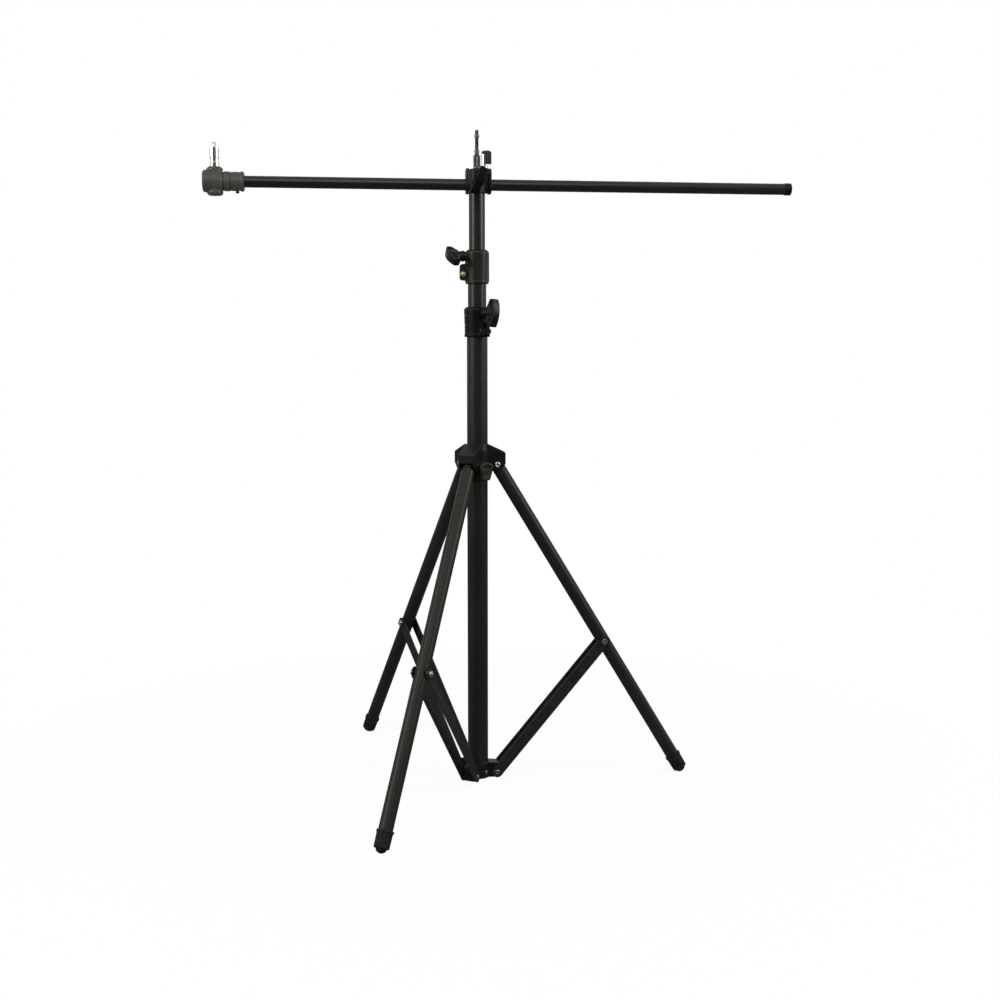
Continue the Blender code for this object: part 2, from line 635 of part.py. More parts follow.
def build_leg(key, angle, crown, looks):
    """One leg: its rounded top plug, tube and rubber foot, on its hinge at the crown."""
    hinge = (PIVOT_RADIUS * cos(radians(angle)), PIVOT_RADIUS * sin(radians(angle)), 0)
    frame = axis("leg_hinge_" + key, crown, hinge, (0, -radians(LEG_SPREAD), radians(angle)))
    bore = LEG_RADIUS - LEG_WALL
    spigot = bore - SEAT_GAP
    seat = -LEG_TUBE_START + SEAT_GAP
    profile = dome(LEG_RADIUS, 0, LEG_RADIUS, 3) + [
        (LEG_RADIUS, seat), (spigot, seat), (spigot, seat - LEG_PLUG_DEPTH),
        (0, seat - LEG_PLUG_DEPTH)]
    plug = turned("leg_plug_" + key, profile, frame, material=looks["plastic"])
    cut(plug, rod("leg_plug_hole_" + key, LEG_PIN_RADIUS + SEAT_GAP, -0.02, 0.02, frame,
                  (0, 0, 0), ALONG_Y))

    tip = -FOOT_CENTRE
    step = tip + FOOT_NUB
    tube_end = step + 0.0055
    tube("leg_tube_" + key, LEG_RADIUS, bore, tube_end, -LEG_TUBE_START, frame, looks["tube"],
         ROUND_MEDIUM)
    sock = LEG_RADIUS + SEAT_GAP
    body = sock + FOOT_WALL
    lip = body + FOOT_LIP
    top = step + FOOT_BODY
    nub = [(FOOT_TIP_RADIUS * cos(radians(a)), tip - FOOT_TIP_RADIUS * sin(radians(a)))
           for a in (0, 90 - LEG_SPREAD, 90)]
    nub[-1] = (0, nub[-1][1])
    boot = [(0, tube_end - SEAT_GAP), (sock, tube_end - SEAT_GAP), (sock, top),
            (lip, top), (lip, top - 0.0030), (body, top - 0.0040),
            (body - 0.0004, step),
            (FOOT_TIP_RADIUS, step)] + nub
    turned("leg_foot_" + key, boot, frame, material=looks["rubber"])
    return frame


def build_brace(key, angle, looks):
    """One pair of brace strips on its hinge at the hub, with the bolt and nut at the leg."""
    hinge = (PIVOT_RADIUS * cos(radians(angle)), PIVOT_RADIUS * sin(radians(angle)),
             HUB_PIVOT_Z)
    frame = axis("brace_hinge_" + key, None, hinge, (0, radians(BRACE_SPREAD), radians(angle)))
    half = STRIP_WIDTH / 2
    hole = RIVET_RADIUS + SEAT_GAP
    outline = arc(0, BRACE_LENGTH, half, 0, 180, 8) + arc(0, 0, half, 180, 360, 8)
    middle = (STRIP_INNER + STRIP_OUTER) / 2
    holes = ((0, 0, hole), (0, BRACE_LENGTH, hole))
    for side, y in (("near", -middle), ("far", middle)):
        plate("brace_" + side + "_" + key, outline, STRIP_THICKNESS, frame, (0, y, 0), SIDE_ON,
              looks["strip"], holes)

    # The leg's bolt and nut stop short of the leg, where the folding chain is left open
    seat = STRIP_OUTER + SEAT_GAP
    inner = STRIP_INNER
    upper = (0, 0, BRACE_LENGTH)
    head = [(0, -seat - 0.0016), (0.0018, -seat - 0.0016), (0.0026, -seat - BRACE_BOLT_HEIGHT),
            (BRACE_BOLT_HEAD - 0.0008, -seat - BRACE_BOLT_HEIGHT),
            (BRACE_BOLT_HEAD, -seat - 0.0016), (BRACE_BOLT_HEAD, -seat), (RIVET_RADIUS, -seat),
            (RIVET_RADIUS, -inner), (0, -inner)]
    turned("brace_bolt_" + key, [(r, z) for r, z in reversed(head)], frame, upper, ALONG_Y,
           looks["steel"], ROUND_SMALL)
    nut = [(0, seat + BRACE_NUT_HEIGHT + 0.0015), (RIVET_RADIUS, seat + BRACE_NUT_HEIGHT + 0.0010),
           (RIVET_RADIUS, seat + BRACE_NUT_HEIGHT), (BRACE_NUT_RADIUS, seat + BRACE_NUT_HEIGHT),
           (BRACE_NUT_RADIUS, seat), (RIVET_RADIUS, seat),
           (RIVET_RADIUS, inner), (0, inner)]
    turned("brace_nut_" + key, nut, frame, upper, ALONG_Y, looks["steel"], 12)
    return frame


def build_hub(looks):
    """Hub at the column's foot with a lug for each pair of strips, and its rivets."""
    bore = LOWER_RADIUS + SEAT_GAP
    outer = bore + HUB_WALL
    hub = turned("base_hub", [(0, HUB_HEIGHT), (outer - 0.001, HUB_HEIGHT),
                              (outer, HUB_HEIGHT - 0.001), (outer, 0), (0, 0)],
                 material=looks["casting"], steps=ROUND_LARGE)
    reach = PIVOT_RADIUS + LUG_REACH
    inside = PIVOT_RADIUS - 0.020
    outline = [(inside, 0), (PIVOT_RADIUS, 0)] + arc(
        PIVOT_RADIUS, LUG_REACH, LUG_REACH, -60, 0, 2) + [
        (reach, LUG_TOP - 0.006), (reach - 0.0045, LUG_TOP - 0.0005),
        (inside + 0.008, LUG_TOP + 0.0012), (inside, LUG_TOP + 0.0012)]
    frames = {}
    for key, angle in LEG_ANGLES.items():
        frames[key] = axis("hub_lug_axis_" + key, None, (0, 0, 0), (0, 0, radians(angle)))
        join(hub, plate("hub_lug_" + key, outline, 2 * LEG_RADIUS, frames[key], (0, 0, 0),
                        SIDE_ON))
    cut(hub, rod("hub_bore", bore, -0.002, HUB_HEIGHT + 0.002, steps=ROUND_LARGE))
    for key, frame in frames.items():
        at = (PIVOT_RADIUS, 0, HUB_PIVOT_Z)
        cut(hub, rod("hub_pin_hole_" + key, RIVET_RADIUS + SEAT_GAP, -0.02, 0.02, frame, at,
                     ALONG_Y))
        rivet("hub_pin_" + key, frame, RIVET_RADIUS, RIVET_HEAD, RIVET_DOME,
              STRIP_OUTER + SEAT_GAP, looks["steel"], at)


def build_top(upper, looks):
    """Top casting with its spigot, tilt bolt and knob."""
    top = axis("top_swivel_axis", upper, (0, 0, CASTING_BOTTOM))
    plug = UPPER_BORE - SLIDE_GAP
    radius = CASTING_RADIUS
    casting = turned("top_casting", [
        (0, CASTING_HEIGHT), (radius - 0.003, CASTING_HEIGHT), (radius, CASTING_HEIGHT - 0.002),
        (radius, 0.001), (radius - 0.0006, 0), (plug, 0), (plug, -CASTING_PLUG_DEPTH),
        (0, -CASTING_PLUG_DEPTH)], top, material=looks["casting"], steps=ROUND_LARGE)
    at = (0, 0, BOOM_AXIS_ABOVE)
    join(casting,
         rod("casting_rosette", ROSETTE_RADIUS, 0, ROSETTE_FACE + 0.002, top, at, ALONG_Y,
             steps=ROUND_MEDIUM),
         rod("casting_front_boss", FRONT_BOSS_RADIUS, -FRONT_BOSS_FACE, 0, top, at, ALONG_Y,
             steps=ROUND_MEDIUM))
    behind = plate("casting_back_cut", box_outline(-0.03, 0.03, -0.003, CASTING_HEIGHT + 0.003),
                   0.02, top, (0, ROSETTE_FACE + 0.01, 0), SIDE_ON)
    cut(casting, behind,
        rod("casting_bolt_hole", TILT_BOLT_RADIUS + SEAT_GAP, -0.03, 0.03, top, at, ALONG_Y),
        rod("casting_stud_hole", SHANK_RADIUS + SEAT_GAP, CASTING_HEIGHT - SHANK_DEPTH - 0.001,
            CASTING_HEIGHT + 0.002, top, steps=ROUND_MEDIUM))
    base = CASTING_HEIGHT + SEAT_GAP
    neck = base + SPIGOT_BASE
    collar = neck + SPIGOT_NECK
    stud = collar + SPIGOT_COLLAR
    end = stud + SPIGOT_STUD
    turned("top_spigot", [
        (0, end), (STUD_RADIUS - 0.0008, end), (STUD_RADIUS, end - 0.0012),
        (STUD_RADIUS, end - 0.0065), (STUD_RADIUS + 0.0009, end - 0.0075),
        (STUD_RADIUS + 0.0009, end - 0.0110), (STUD_RADIUS, end - 0.0120), (STUD_RADIUS, stud),
        (SPIGOT_COLLAR_RADIUS, stud), (SPIGOT_COLLAR_RADIUS, collar),
        (SPIGOT_NECK_RADIUS, collar), (SPIGOT_NECK_RADIUS, neck + 0.0015),
        (SPIGOT_RADIUS - 0.001, neck), (SPIGOT_RADIUS, neck - 0.001), (SPIGOT_RADIUS, base),
        (SHANK_RADIUS, base), (SHANK_RADIUS, CASTING_HEIGHT - SHANK_DEPTH),
        (0, CASTING_HEIGHT - SHANK_DEPTH)], top, material=looks["grey_steel"],
        steps=ROUND_SMALL)

    # The tilt knob's frame has its X pointing to the front
    knob_axis = axis("tilt_knob_axis", top, at, (0, 0, -pi / 2))
    seat = FRONT_BOSS_FACE + SEAT_GAP
    bolt_end = HOLDER_FRONT + BOOM_WALL_IN_HOLDER - 0.0006
    socket = seat + 0.012
    knob = build_t_knob("tilt_knob", knob_axis, seat, seat, TILT_KNOB_TURN, looks["plastic"])
    cut(knob, rod("tilt_knob_bore", TILT_BOLT_RADIUS + SEAT_GAP, seat - 0.005, socket,
                  knob_axis, (0, 0, 0), ALONG_X))
    rod("tilt_bolt", TILT_BOLT_RADIUS, -bolt_end, socket - SEAT_GAP, knob_axis, (0, 0, 0),
        ALONG_X, looks["steel"])
    return top


def build_holder(top, looks):
    """Boom holder behind the casting, with its lock sleeve and lever."""
    hinge = axis("boom_tilt_axis", top, (0, 0, BOOM_AXIS_ABOVE))
    bore = BOOM_RADIUS + SLIDE_GAP
    centre = BOOM_Y
    front = HOLDER_FRONT
    back = front + HOLDER_DEPTH
    outline = round_box(front, back, -HOLDER_BELOW, HOLDER_ABOVE, HOLDER_CORNER, 4)
    waist = round_box(front + HOLDER_WAIST, back - HOLDER_WAIST, -HOLDER_BELOW + HOLDER_WAIST,
                      HOLDER_ABOVE - HOLDER_WAIST, HOLDER_CORNER - HOLDER_WAIST, 4)
    half = HOLDER_LENGTH / 2
    holder = plate("boom_holder", waist, HOLDER_LENGTH - 0.002, hinge, (HOLDER_SHIFT, 0, 0),
                   END_ON, looks["casting"])
    for side, x in (("left", -half + HOLDER_LIP / 2), ("right", half - HOLDER_LIP / 2)):
        lip = plate("holder_lip_" + side, outline, HOLDER_LIP, hinge, (HOLDER_SHIFT + x, 0, 0),
                    END_ON)
        soften(lip, 0.0012, 1)
        join(holder, lip)
    join(holder, rod("holder_rosette", ROSETTE_RADIUS, ROSETTE_FACE + SEAT_GAP, front + 0.004,
                     hinge, (0, 0, 0), ALONG_Y, steps=ROUND_MEDIUM))
    lock_seat = HOLDER_ABOVE - HOLDER_WAIST
    join(holder, rod("holder_lock_boss", LOCK_RADIUS + 0.0012, lock_seat - 0.004, lock_seat + 0.0012,
                     hinge, (LOCK_OFFSET, centre, 0)))
    cut(holder,
        rod("holder_boom_bore", bore, -HOLDER_LENGTH, HOLDER_LENGTH, hinge, (0, centre, 0),
            ALONG_X, steps=ROUND_MEDIUM),
        rod("holder_bolt_hole", TILT_BOLT_RADIUS + SEAT_GAP, 0, front + BOOM_WALL_IN_HOLDER - 0.0003,
            hinge, (0, 0, 0), ALONG_Y),
        rod("holder_lock_hole", KNOB_SCREW_RADIUS + SEAT_GAP, 0, HOLDER_ABOVE + 0.01, hinge,
            (LOCK_OFFSET, centre, 0)))

    # Lock screw with its chrome sleeve, and the lever on top
    lock = axis("boom_lock_axis", hinge, (LOCK_OFFSET, centre, 0), (0, 0, radians(LEVER_TURN)))
    seat = lock_seat + 0.0012 + SEAT_GAP
    sleeve_top = HOLDER_ABOVE + LOCK_HEIGHT
    pin = 0.0024
    turned("lock_sleeve", [
        (0, sleeve_top + 0.003), (pin, sleeve_top + 0.003), (pin, sleeve_top),
        (LOCK_RADIUS - 0.0008, sleeve_top), (LOCK_RADIUS, sleeve_top - 0.0008),
        (LOCK_RADIUS, seat), (KNOB_SCREW_RADIUS, seat), (KNOB_SCREW_RADIUS, bore + 0.0002),
        (0, bore + 0.0002)], lock, material=looks["chrome"])
    lever_bottom = sleeve_top + SEAT_GAP
    lever = plate("lock_lever", hook_outline(lever_bottom), LEVER_THICKNESS, lock, (0, 0, 0),
                  SIDE_ON, looks["plastic"])
    soften(lever, 0.0007)
    cut(lever, rod("lever_hole", pin + SEAT_GAP, lever_bottom - 0.002, sleeve_top + 0.0033, lock,
                   steps=ROUND_SMALL + 2))
    return hinge


def hook_outline(bottom):
    """The lock lever from its side: a cap over the sleeve whose arm bends down outside it."""
    top = bottom + LEVER_ARM
    inner = LOCK_RADIUS + 0.0010
    outer = LEVER_REACH
    low = bottom - LEVER_DROP
    return ([(-0.0036, bottom), (inner, bottom), (inner, low + 0.005), (inner + 0.0015, low)]
            + [(outer - 0.0006, low), (outer, low + 0.0020)]
            + arc(outer - 0.0043, top - 0.0043, 0.0043, 0, 90, 3)
            + [(-0.0015, top), (-0.0036, top - 0.0021)])


def build_boom(hinge, looks):
    """Boom tube with the cap at its right end and the head's sleeve at its left end."""
    boom = axis("boom_slide_axis", hinge, (0, BOOM_Y, 0))
    wall = BOOM_RADIUS - BOOM_WALL
    turned("boom_tube", [(BOOM_RADIUS, BOOM_RIGHT), (BOOM_RADIUS, BOOM_LEFT),
                         (wall, BOOM_LEFT), (wall, BOOM_RIGHT)], boom, (0, 0, 0), ALONG_X,
           looks["tube"], ROUND_MEDIUM, hollow=True)
    cap_bore = BOOM_RADIUS + SEAT_GAP
    cap = cap_bore + CAP_WALL
    end = BOOM_RIGHT + CAP_END
    start = end - CAP_LENGTH
    turned("boom_end_cap", [(0, end), (cap - 0.0010, end), (cap, end - 0.0010), (cap, start),
                            (cap_bore, start), (cap_bore, BOOM_RIGHT + SEAT_GAP),
                            (0, BOOM_RIGHT + SEAT_GAP)], boom, (0, 0, 0), ALONG_X,
           looks["plastic"])

    left = SLEEVE_RIGHT - SLEEVE_LENGTH
    floor = BOOM_LEFT - SEAT_GAP
    neck = left + SLEEVE_NECK
    lip = SLEEVE_RADIUS + 0.0005
    sleeve = turned("head_sleeve", [
        (0, SLEEVE_RIGHT), (lip - 0.0025, SLEEVE_RIGHT), (lip, SLEEVE_RIGHT - 0.0020),
        (lip, SLEEVE_RIGHT - SLEEVE_LIP + 0.0008),
        (SLEEVE_RADIUS - 0.0003, SLEEVE_RIGHT - SLEEVE_LIP), (SLEEVE_RADIUS - 0.0003, neck + 0.0012),
        (SLEEVE_RADIUS - SLEEVE_GROOVE, neck + 0.0008),
        (SLEEVE_RADIUS - SLEEVE_GROOVE, neck - 0.0008), (SLEEVE_RADIUS + 0.0002, neck - 0.0012),
        (SLEEVE_RADIUS + 0.0002, left + 0.0015), (SLEEVE_RADIUS - 0.0010, left),
        (HEAD_PIVOT_RADIUS, left), (HEAD_PIVOT_RADIUS, left - HEAD_PIVOT_LENGTH),
        (0, left - HEAD_PIVOT_LENGTH)], boom, (0, 0, 0), ALONG_X, looks["casting"], ROUND_LARGE)
    cut(sleeve, rod("sleeve_bore", cap_bore, floor, SLEEVE_RIGHT + 0.01, boom, (0, 0, 0), ALONG_X,
                    steps=ROUND_MEDIUM))
    screw_x = SLEEVE_RIGHT - SLEEVE_SCREW_AT
    cut(sleeve, rod("sleeve_screw_hole", SLEEVE_SCREW_RADIUS * 0.7 + SEAT_GAP, -0.02, 0, boom,
                    (screw_x, 0, 0)))
    shank = SLEEVE_SCREW_RADIUS * 0.7
    low = -SLEEVE_RADIUS - SLEEVE_SCREW_HEAD
    turned("head_sleeve_screw", [
        (0, -cap_bore), (shank, -cap_bore), (shank, -SLEEVE_RADIUS - SEAT_GAP),
        (SLEEVE_SCREW_RADIUS, -SLEEVE_RADIUS - SEAT_GAP), (SLEEVE_SCREW_RADIUS, low + 0.0008),
        (SLEEVE_SCREW_RADIUS - 0.0008, low), (0, low)], boom, (screw_x, 0, 0),
        material=looks["plastic"], steps=ROUND_SMALL)
    return boom


def build_head(boom, looks):
    """Swivelling head with its chrome spigot."""
    head = axis("head_turn_axis", boom)
    right = SLEEVE_RIGHT - SLEEVE_LENGTH - SEAT_GAP
    left = right - HEAD_LENGTH
    corner = [(HEAD_RADIUS - HEAD_ROUND + HEAD_ROUND * sin(radians(a)),
               left + HEAD_ROUND * 0.8 * (1 - cos(radians(a)))) for a in (90, 60, 30, 0)]
    body = turned("head_body", [
        (0, right), (SLEEVE_RADIUS - 0.0010, right), (SLEEVE_RADIUS + 0.0006, right - 0.0025),
        (HEAD_RADIUS, right - 0.0045)] + corner + [(0, left)], head, (0, 0, 0), ALONG_X,
        looks["casting"], ROUND_LARGE)
    cross_x = left + CROSS_AT
    cross = turned("head_cross", [
        (0, CROSS_HEIGHT), (CROSS_RADIUS - 0.0030, CROSS_HEIGHT),
        (CROSS_RADIUS, CROSS_HEIGHT - 0.0030), (CROSS_RADIUS, -CROSS_HEIGHT + 0.0030),
        (CROSS_RADIUS - 0.0030, -CROSS_HEIGHT), (0, -CROSS_HEIGHT)], head, (cross_x, 0, 0),
        steps=ROUND_MEDIUM)
    join(body, cross)
    cut(body,
        rod("head_pivot_bore", HEAD_PIVOT_RADIUS + SEAT_GAP,
            SLEEVE_RIGHT - SLEEVE_LENGTH - HEAD_PIVOT_LENGTH - SEAT_GAP, right + 0.01, head,
            (0, 0, 0), ALONG_X),
        rod("head_spigot_hole", SHANK_RADIUS + SEAT_GAP, CROSS_HEIGHT - SHANK_DEPTH - 0.0005,
            CROSS_HEIGHT + 0.002, head, (cross_x, 0, 0)))
    base = CROSS_HEIGHT + SEAT_GAP
    shoulder = base + HEAD_SPIGOT_LENGTH
    end = shoulder + HEAD_STUD_LENGTH
    radius = HEAD_SPIGOT_RADIUS
    turned("head_spigot", [
        (0, end), (STUD_RADIUS - 0.0008, end), (STUD_RADIUS, end - 0.0010),
        (STUD_RADIUS, shoulder), (radius - 0.0010, shoulder), (radius, shoulder - 0.0010),
        (radius, base + 0.0140), (radius - 0.0012, base + 0.0125),
        (radius - 0.0012, base + 0.0075), (radius, base + 0.0060), (radius, base),
        (SHANK_RADIUS, base), (SHANK_RADIUS, CROSS_HEIGHT - SHANK_DEPTH),
        (0, CROSS_HEIGHT - SHANK_DEPTH)], head, (cross_x, 0, 0), material=looks["chrome"],
        steps=ROUND_SMALL + 4)


def main():
    """Build the stand."""
    global parts, cutters
    clear_scene()
    parts = new_collection("light_stand")
    cutters = new_collection("cutters")
    looks = {
        "tube": finish("black_anodised", (0.022, 0.022, 0.021), 0.38, 0.3),
        "casting": finish("black_casting", (0.012, 0.012, 0.012), 0.45),
        "plastic": finish("black_plastic", (0.010, 0.010, 0.010), 0.42),
        "strip": finish("black_steel_strip", (0.013, 0.013, 0.013), 0.40, 0.2),
        "rubber": finish("black_rubber", (0.012, 0.012, 0.012), 0.80),
        "steel": finish("bright_steel", (0.55, 0.55, 0.53), 0.30, 1.0),
        "grey_steel": finish("grey_steel", (0.30, 0.30, 0.30), 0.35, 1.0),
        "chrome": finish("chrome", (0.80, 0.80, 0.79), 0.12, 1.0),
    }
    build_hub(looks)
    middle, upper = build_columns(looks)
    build_collar("lower_collar", MIDDLE_RADIUS, LOWER_RADIUS, LOWER_COLLAR_TOP,
                 LOWER_COLLAR_HEIGHT, LOWER_KNOB_ANGLE, LOWER_KNOB_TURN, LOWER_EAR_ANGLE,
                 LOWER_EAR_DROP, LOWER_EAR_HEIGHT, None, looks)
    build_collar("middle_collar", UPPER_RADIUS, MIDDLE_RADIUS, MIDDLE_COLLAR_TOP,
                 MIDDLE_COLLAR_HEIGHT, MIDDLE_KNOB_ANGLE, MIDDLE_KNOB_TURN, MIDDLE_EAR_ANGLE,
                 MIDDLE_EAR_DROP, MIDDLE_EAR_HEIGHT, middle, looks)
    crown = build_crown(looks)
    for key, angle in LEG_ANGLES.items():
        build_leg(key, angle, crown, looks)
        build_brace(key, angle, looks)
    top = build_top(upper, looks)
    hinge = build_holder(top, looks)
    boom = build_boom(hinge, looks)
    build_head(boom, looks)
    bpy.context.view_layer.update()


main()
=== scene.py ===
"""Looks of the folding light stand: smooth tubes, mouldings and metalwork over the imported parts.

Metres, +Z up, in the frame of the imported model. Pieces are made about their own Z axis, or
about their screw, and are then put in place on the body that carries them.
"""
import json
import math
from math import asin, atan2, cos, pi, radians, sin

import bpy
from mathutils import Matrix, Vector


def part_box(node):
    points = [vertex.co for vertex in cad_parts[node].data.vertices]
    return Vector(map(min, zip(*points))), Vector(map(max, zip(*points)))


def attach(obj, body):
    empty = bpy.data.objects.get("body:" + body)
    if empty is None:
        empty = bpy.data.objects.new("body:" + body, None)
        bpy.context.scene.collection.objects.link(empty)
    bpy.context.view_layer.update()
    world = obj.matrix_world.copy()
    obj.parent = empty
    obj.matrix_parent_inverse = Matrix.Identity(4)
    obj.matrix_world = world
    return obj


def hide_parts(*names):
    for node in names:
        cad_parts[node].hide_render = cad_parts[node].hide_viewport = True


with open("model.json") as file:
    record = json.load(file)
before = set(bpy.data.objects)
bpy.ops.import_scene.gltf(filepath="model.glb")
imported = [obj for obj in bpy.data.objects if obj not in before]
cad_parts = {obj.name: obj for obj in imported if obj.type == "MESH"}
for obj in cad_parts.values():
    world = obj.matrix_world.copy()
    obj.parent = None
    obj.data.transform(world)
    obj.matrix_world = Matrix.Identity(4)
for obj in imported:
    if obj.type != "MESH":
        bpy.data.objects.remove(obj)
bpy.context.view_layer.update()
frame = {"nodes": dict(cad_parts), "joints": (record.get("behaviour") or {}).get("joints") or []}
JOINTS = {joint["name"]: joint for joint in frame["joints"]}

# Fits between pieces
SEAT_GAP = 0.0003
SLIDE_GAP = 0.0003
HINGE_GAP = 0.0004

# Tubes
COLUMN_WALL = 0.0016
THIN_WALL = 0.0012

# Clamp collars
EAR_REACH = 0.0095
EAR_WIDTH = 0.0135
SLIT_WIDTH = 0.0016
CLAMP_BOLT_RADIUS = 0.0025
BOSS_RADIUS = 0.0075
BOSS_REACH = 0.0030
COLLAR_WALL = 0.0040
BUSH_LIP = 0.0012
BUSH_DEPTH = 0.013

# T knobs
KNOB_LENGTH = 0.031
KNOB_SPAN = 0.046
KNOB_THICKNESS = 0.0130
KNOB_HUB_RADIUS = 0.0090
KNOB_WING_DEPTH = 0.0100
KNOB_TAPER = 0.0072
KNOB_CROWN = 0.0052
KNOB_CORNER = 0.0022
KNOB_SCREW_RADIUS = 0.0030

# Crown and its paddle
CROWN_WALL = 0.0026
CROWN_RIB = 0.0011
CROWN_BELOW = 0.0270
CROWN_ABOVE = 0.0344
CROWN_SHOULDER = 0.0133
YOKE_REACH = 0.0142
YOKE_LIP = 0.0020
YOKE_LIP_BOTTOM = 0.0045
YOKE_WALL = 0.0032
YOKE_ROOF = 0.0035
YOKE_LOBE = 0.0110
LEG_PIN_RADIUS = 0.0030
LEG_PIN_HEAD = 0.0050
CROWN_BOSS_RADIUS = 0.0068
CROWN_BOSS_REACH = 0.0062
PADDLE_START = 0.0378
PADDLE_DEPTH = 0.0062
PADDLE_TOP = 0.0070
PADDLE_DROP = 0.0224
PADDLE_WIDTH = 0.0232
PADDLE_TIP_WIDTH = 0.0136
PADDLE_DISH = 0.0030

# Legs, feet and braces
LEG_AZIMUTH = {"a": 0.0, "b": 120.0, "c": -120.0}
LEG_RADIUS = 0.0115
LEG_SPREAD = 31.08
LEG_PLUG_DEPTH = 0.022
LEG_TUBE_START = 0.008
FOOT_TIP_RADIUS = 0.0085
FOOT_WALL = 0.0009
FOOT_LIP = 0.0010
FOOT_BODY = 0.0270
FOOT_NUB = -0.0010
STRIP_WIDTH = 0.019
STRIP_THICKNESS = 0.0020
RIVET_RADIUS = 0.0025
RIVET_HEAD = 0.0045
RIVET_DOME = 0.0018
BOLT_HEAD = 0.0055
BOLT_HEIGHT = 0.0036
NUT_HEIGHT = 0.0045

# Hub
HUB_HEIGHT = 0.0275
HUB_WALL = 0.0027
LUG_REACH = 0.0085
LUG_TOP = 0.0255
HUB_RIVET_AZIMUTH = -52.0
HUB_RIVET_HEIGHT = 0.0100

# Top casting, its spigot and the boom holder
CASTING_RADIUS = 0.0140
CASTING_HEIGHT = 0.0402
CASTING_PLUG_DEPTH = 0.026
ROSETTE_RADIUS = 0.0130
ROSETTE_FACE = 0.0125
FRONT_BOSS_RADIUS = 0.0095
FRONT_BOSS_FACE = 0.0160
TILT_BOLT_RADIUS = 0.0038
SPIGOT_RADIUS = 0.0060
SPIGOT_BASE = 0.0216
SPIGOT_NECK_RADIUS = 0.0037
SPIGOT_NECK = 0.0053
SPIGOT_COLLAR_RADIUS = 0.0044
SPIGOT_COLLAR = 0.0028
STUD_RADIUS = 0.0032
THREAD_PITCH = 0.00125
THREAD_DEPTH = 0.00045
SPIGOT_STUD = 0.0327
SHANK_RADIUS = 0.0040
SHANK_DEPTH = 0.011
HOLDER_ROSETTE = 0.0034
HOLDER_LENGTH = 0.0424
HOLDER_SHIFT = 0.0058
HOLDER_BELOW = 0.0154
HOLDER_ABOVE = 0.0268
HOLDER_DEPTH = 0.0280
HOLDER_CORNER = 0.0100
HOLDER_LIP = 0.0055
HOLDER_WAIST = 0.0014
BOOM_WALL_IN_HOLDER = 0.0042
LOCK_RADIUS = 0.0056
LOCK_HEIGHT = 0.0239
LEVER_THICKNESS = 0.0085
LEVER_REACH = 0.0118
LEVER_DROP = 0.0175
LEVER_ARM = 0.0050
LEVER_TURN = -40.0

# Boom and head
SLEEVE_RADIUS = 0.0158
SLEEVE_LENGTH = 0.0335
SLEEVE_LIP = 0.0058
SLEEVE_GROOVE = 0.0012
SLEEVE_NECK = 0.0115
SLEEVE_SCREW = 0.0021
HEAD_PIVOT_RADIUS = 0.0060
HEAD_PIVOT_LENGTH = 0.0150
HEAD_RADIUS = 0.0182
HEAD_LENGTH = 0.0337
HEAD_ROUND = 0.0050
CROSS_RADIUS = 0.0132
CROSS_HEIGHT = 0.0230
CROSS_AT = 0.0200
HEAD_SPIGOT_RADIUS = 0.0079
HEAD_STUD_LENGTH = 0.0072

# Turn of the knobs about their screws, and the small screws
TILT_KNOB_TURN = -22.0
ROSETTE_TEETH = 36
HEAD_SCREW_RADIUS = 0.0026
HEAD_SCREW_AZIMUTH = -114.0
HEAD_SCREW_RISE = 0.0178
COLLAR_SCREW_RADIUS = 0.0022
COLLAR_SCREW_AZIMUTH = -158.0
COLLAR_SCREW_HEIGHTS = (0.7963, 0.7803)

# Steps round a piece, the grain of the moulded ones, and the radius that closes a profile's end
ROUND = 64
SMALL_ROUND = 40
HEAD_STEPS = 80
FLUTED_STEPS = 96
VOXEL = 0.00042
AXIS = 0.0001

# Camera: the photograph's viewpoint, and the floor under the feet
CAMERA_PLACE = (-0.2465, -2.2288, 0.7635)
CAMERA_AZIMUTH = 82.71
CAMERA_DIP = 7.065
CAMERA_LENS = 47.709
FLOOR_Z = -0.0075

# Light: the room, what its sides and its dark front add to reflections, and the soft lamps
ROOM_LIGHT = 0.30
ROOM_SIDES = 0.80
ROOM_FRONT = 0.06
FRONT_DIRECTION = (-0.03, -0.997, -0.06)
FLOOR_GLOW = 0.94
FLOOR_SHINE = 0.16
SOFTBOXES = (
    ("left_softbox", (-2.2, -1.0, 1.62), (1.0, 1.5), 40),
    ("right_softbox", (2.1, -0.9, 1.70), (0.9, 1.5), 38),
    ("front_softbox", (-0.2, -2.3, 2.55), (2.0, 1.9), 34),
)

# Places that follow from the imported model
BOOM_TILT = Vector(JOINTS["boom_tilt"]["pos_m"])
CROWN_Z = JOINTS["leg_fold_a"]["pos_m"][2]
PIVOT_RADIUS = JOINTS["leg_fold_a"]["pos_m"][0]
HUB_PIVOT_Z = JOINTS["brace_fold_a"]["pos_m"][2]
STRIP_INNER = LEG_RADIUS + HINGE_GAP
STRIP_OUTER = STRIP_INNER + STRIP_THICKNESS
YOKE_OUTER = STRIP_INNER + YOKE_WALL


def shift(x=0.0, y=0.0, z=0.0):
    """Matrix that moves a piece."""
    return Matrix.Translation((x, y, z))


def turn(degrees, axis="Z"):
    """Matrix that turns a piece about one axis."""
    return Matrix.Rotation(radians(degrees), 4, axis)


def joint_place(name):
    """Where a joint's axis passes."""
    return Matrix.Translation(JOINTS[name]["pos_m"])


def screw_frame(joint):
    """Frame of a knob's screw: X runs out along the screw."""
    out = JOINTS[joint]["axis"]
    return joint_place(joint) @ turn(math.degrees(atan2(out[1], out[0])))


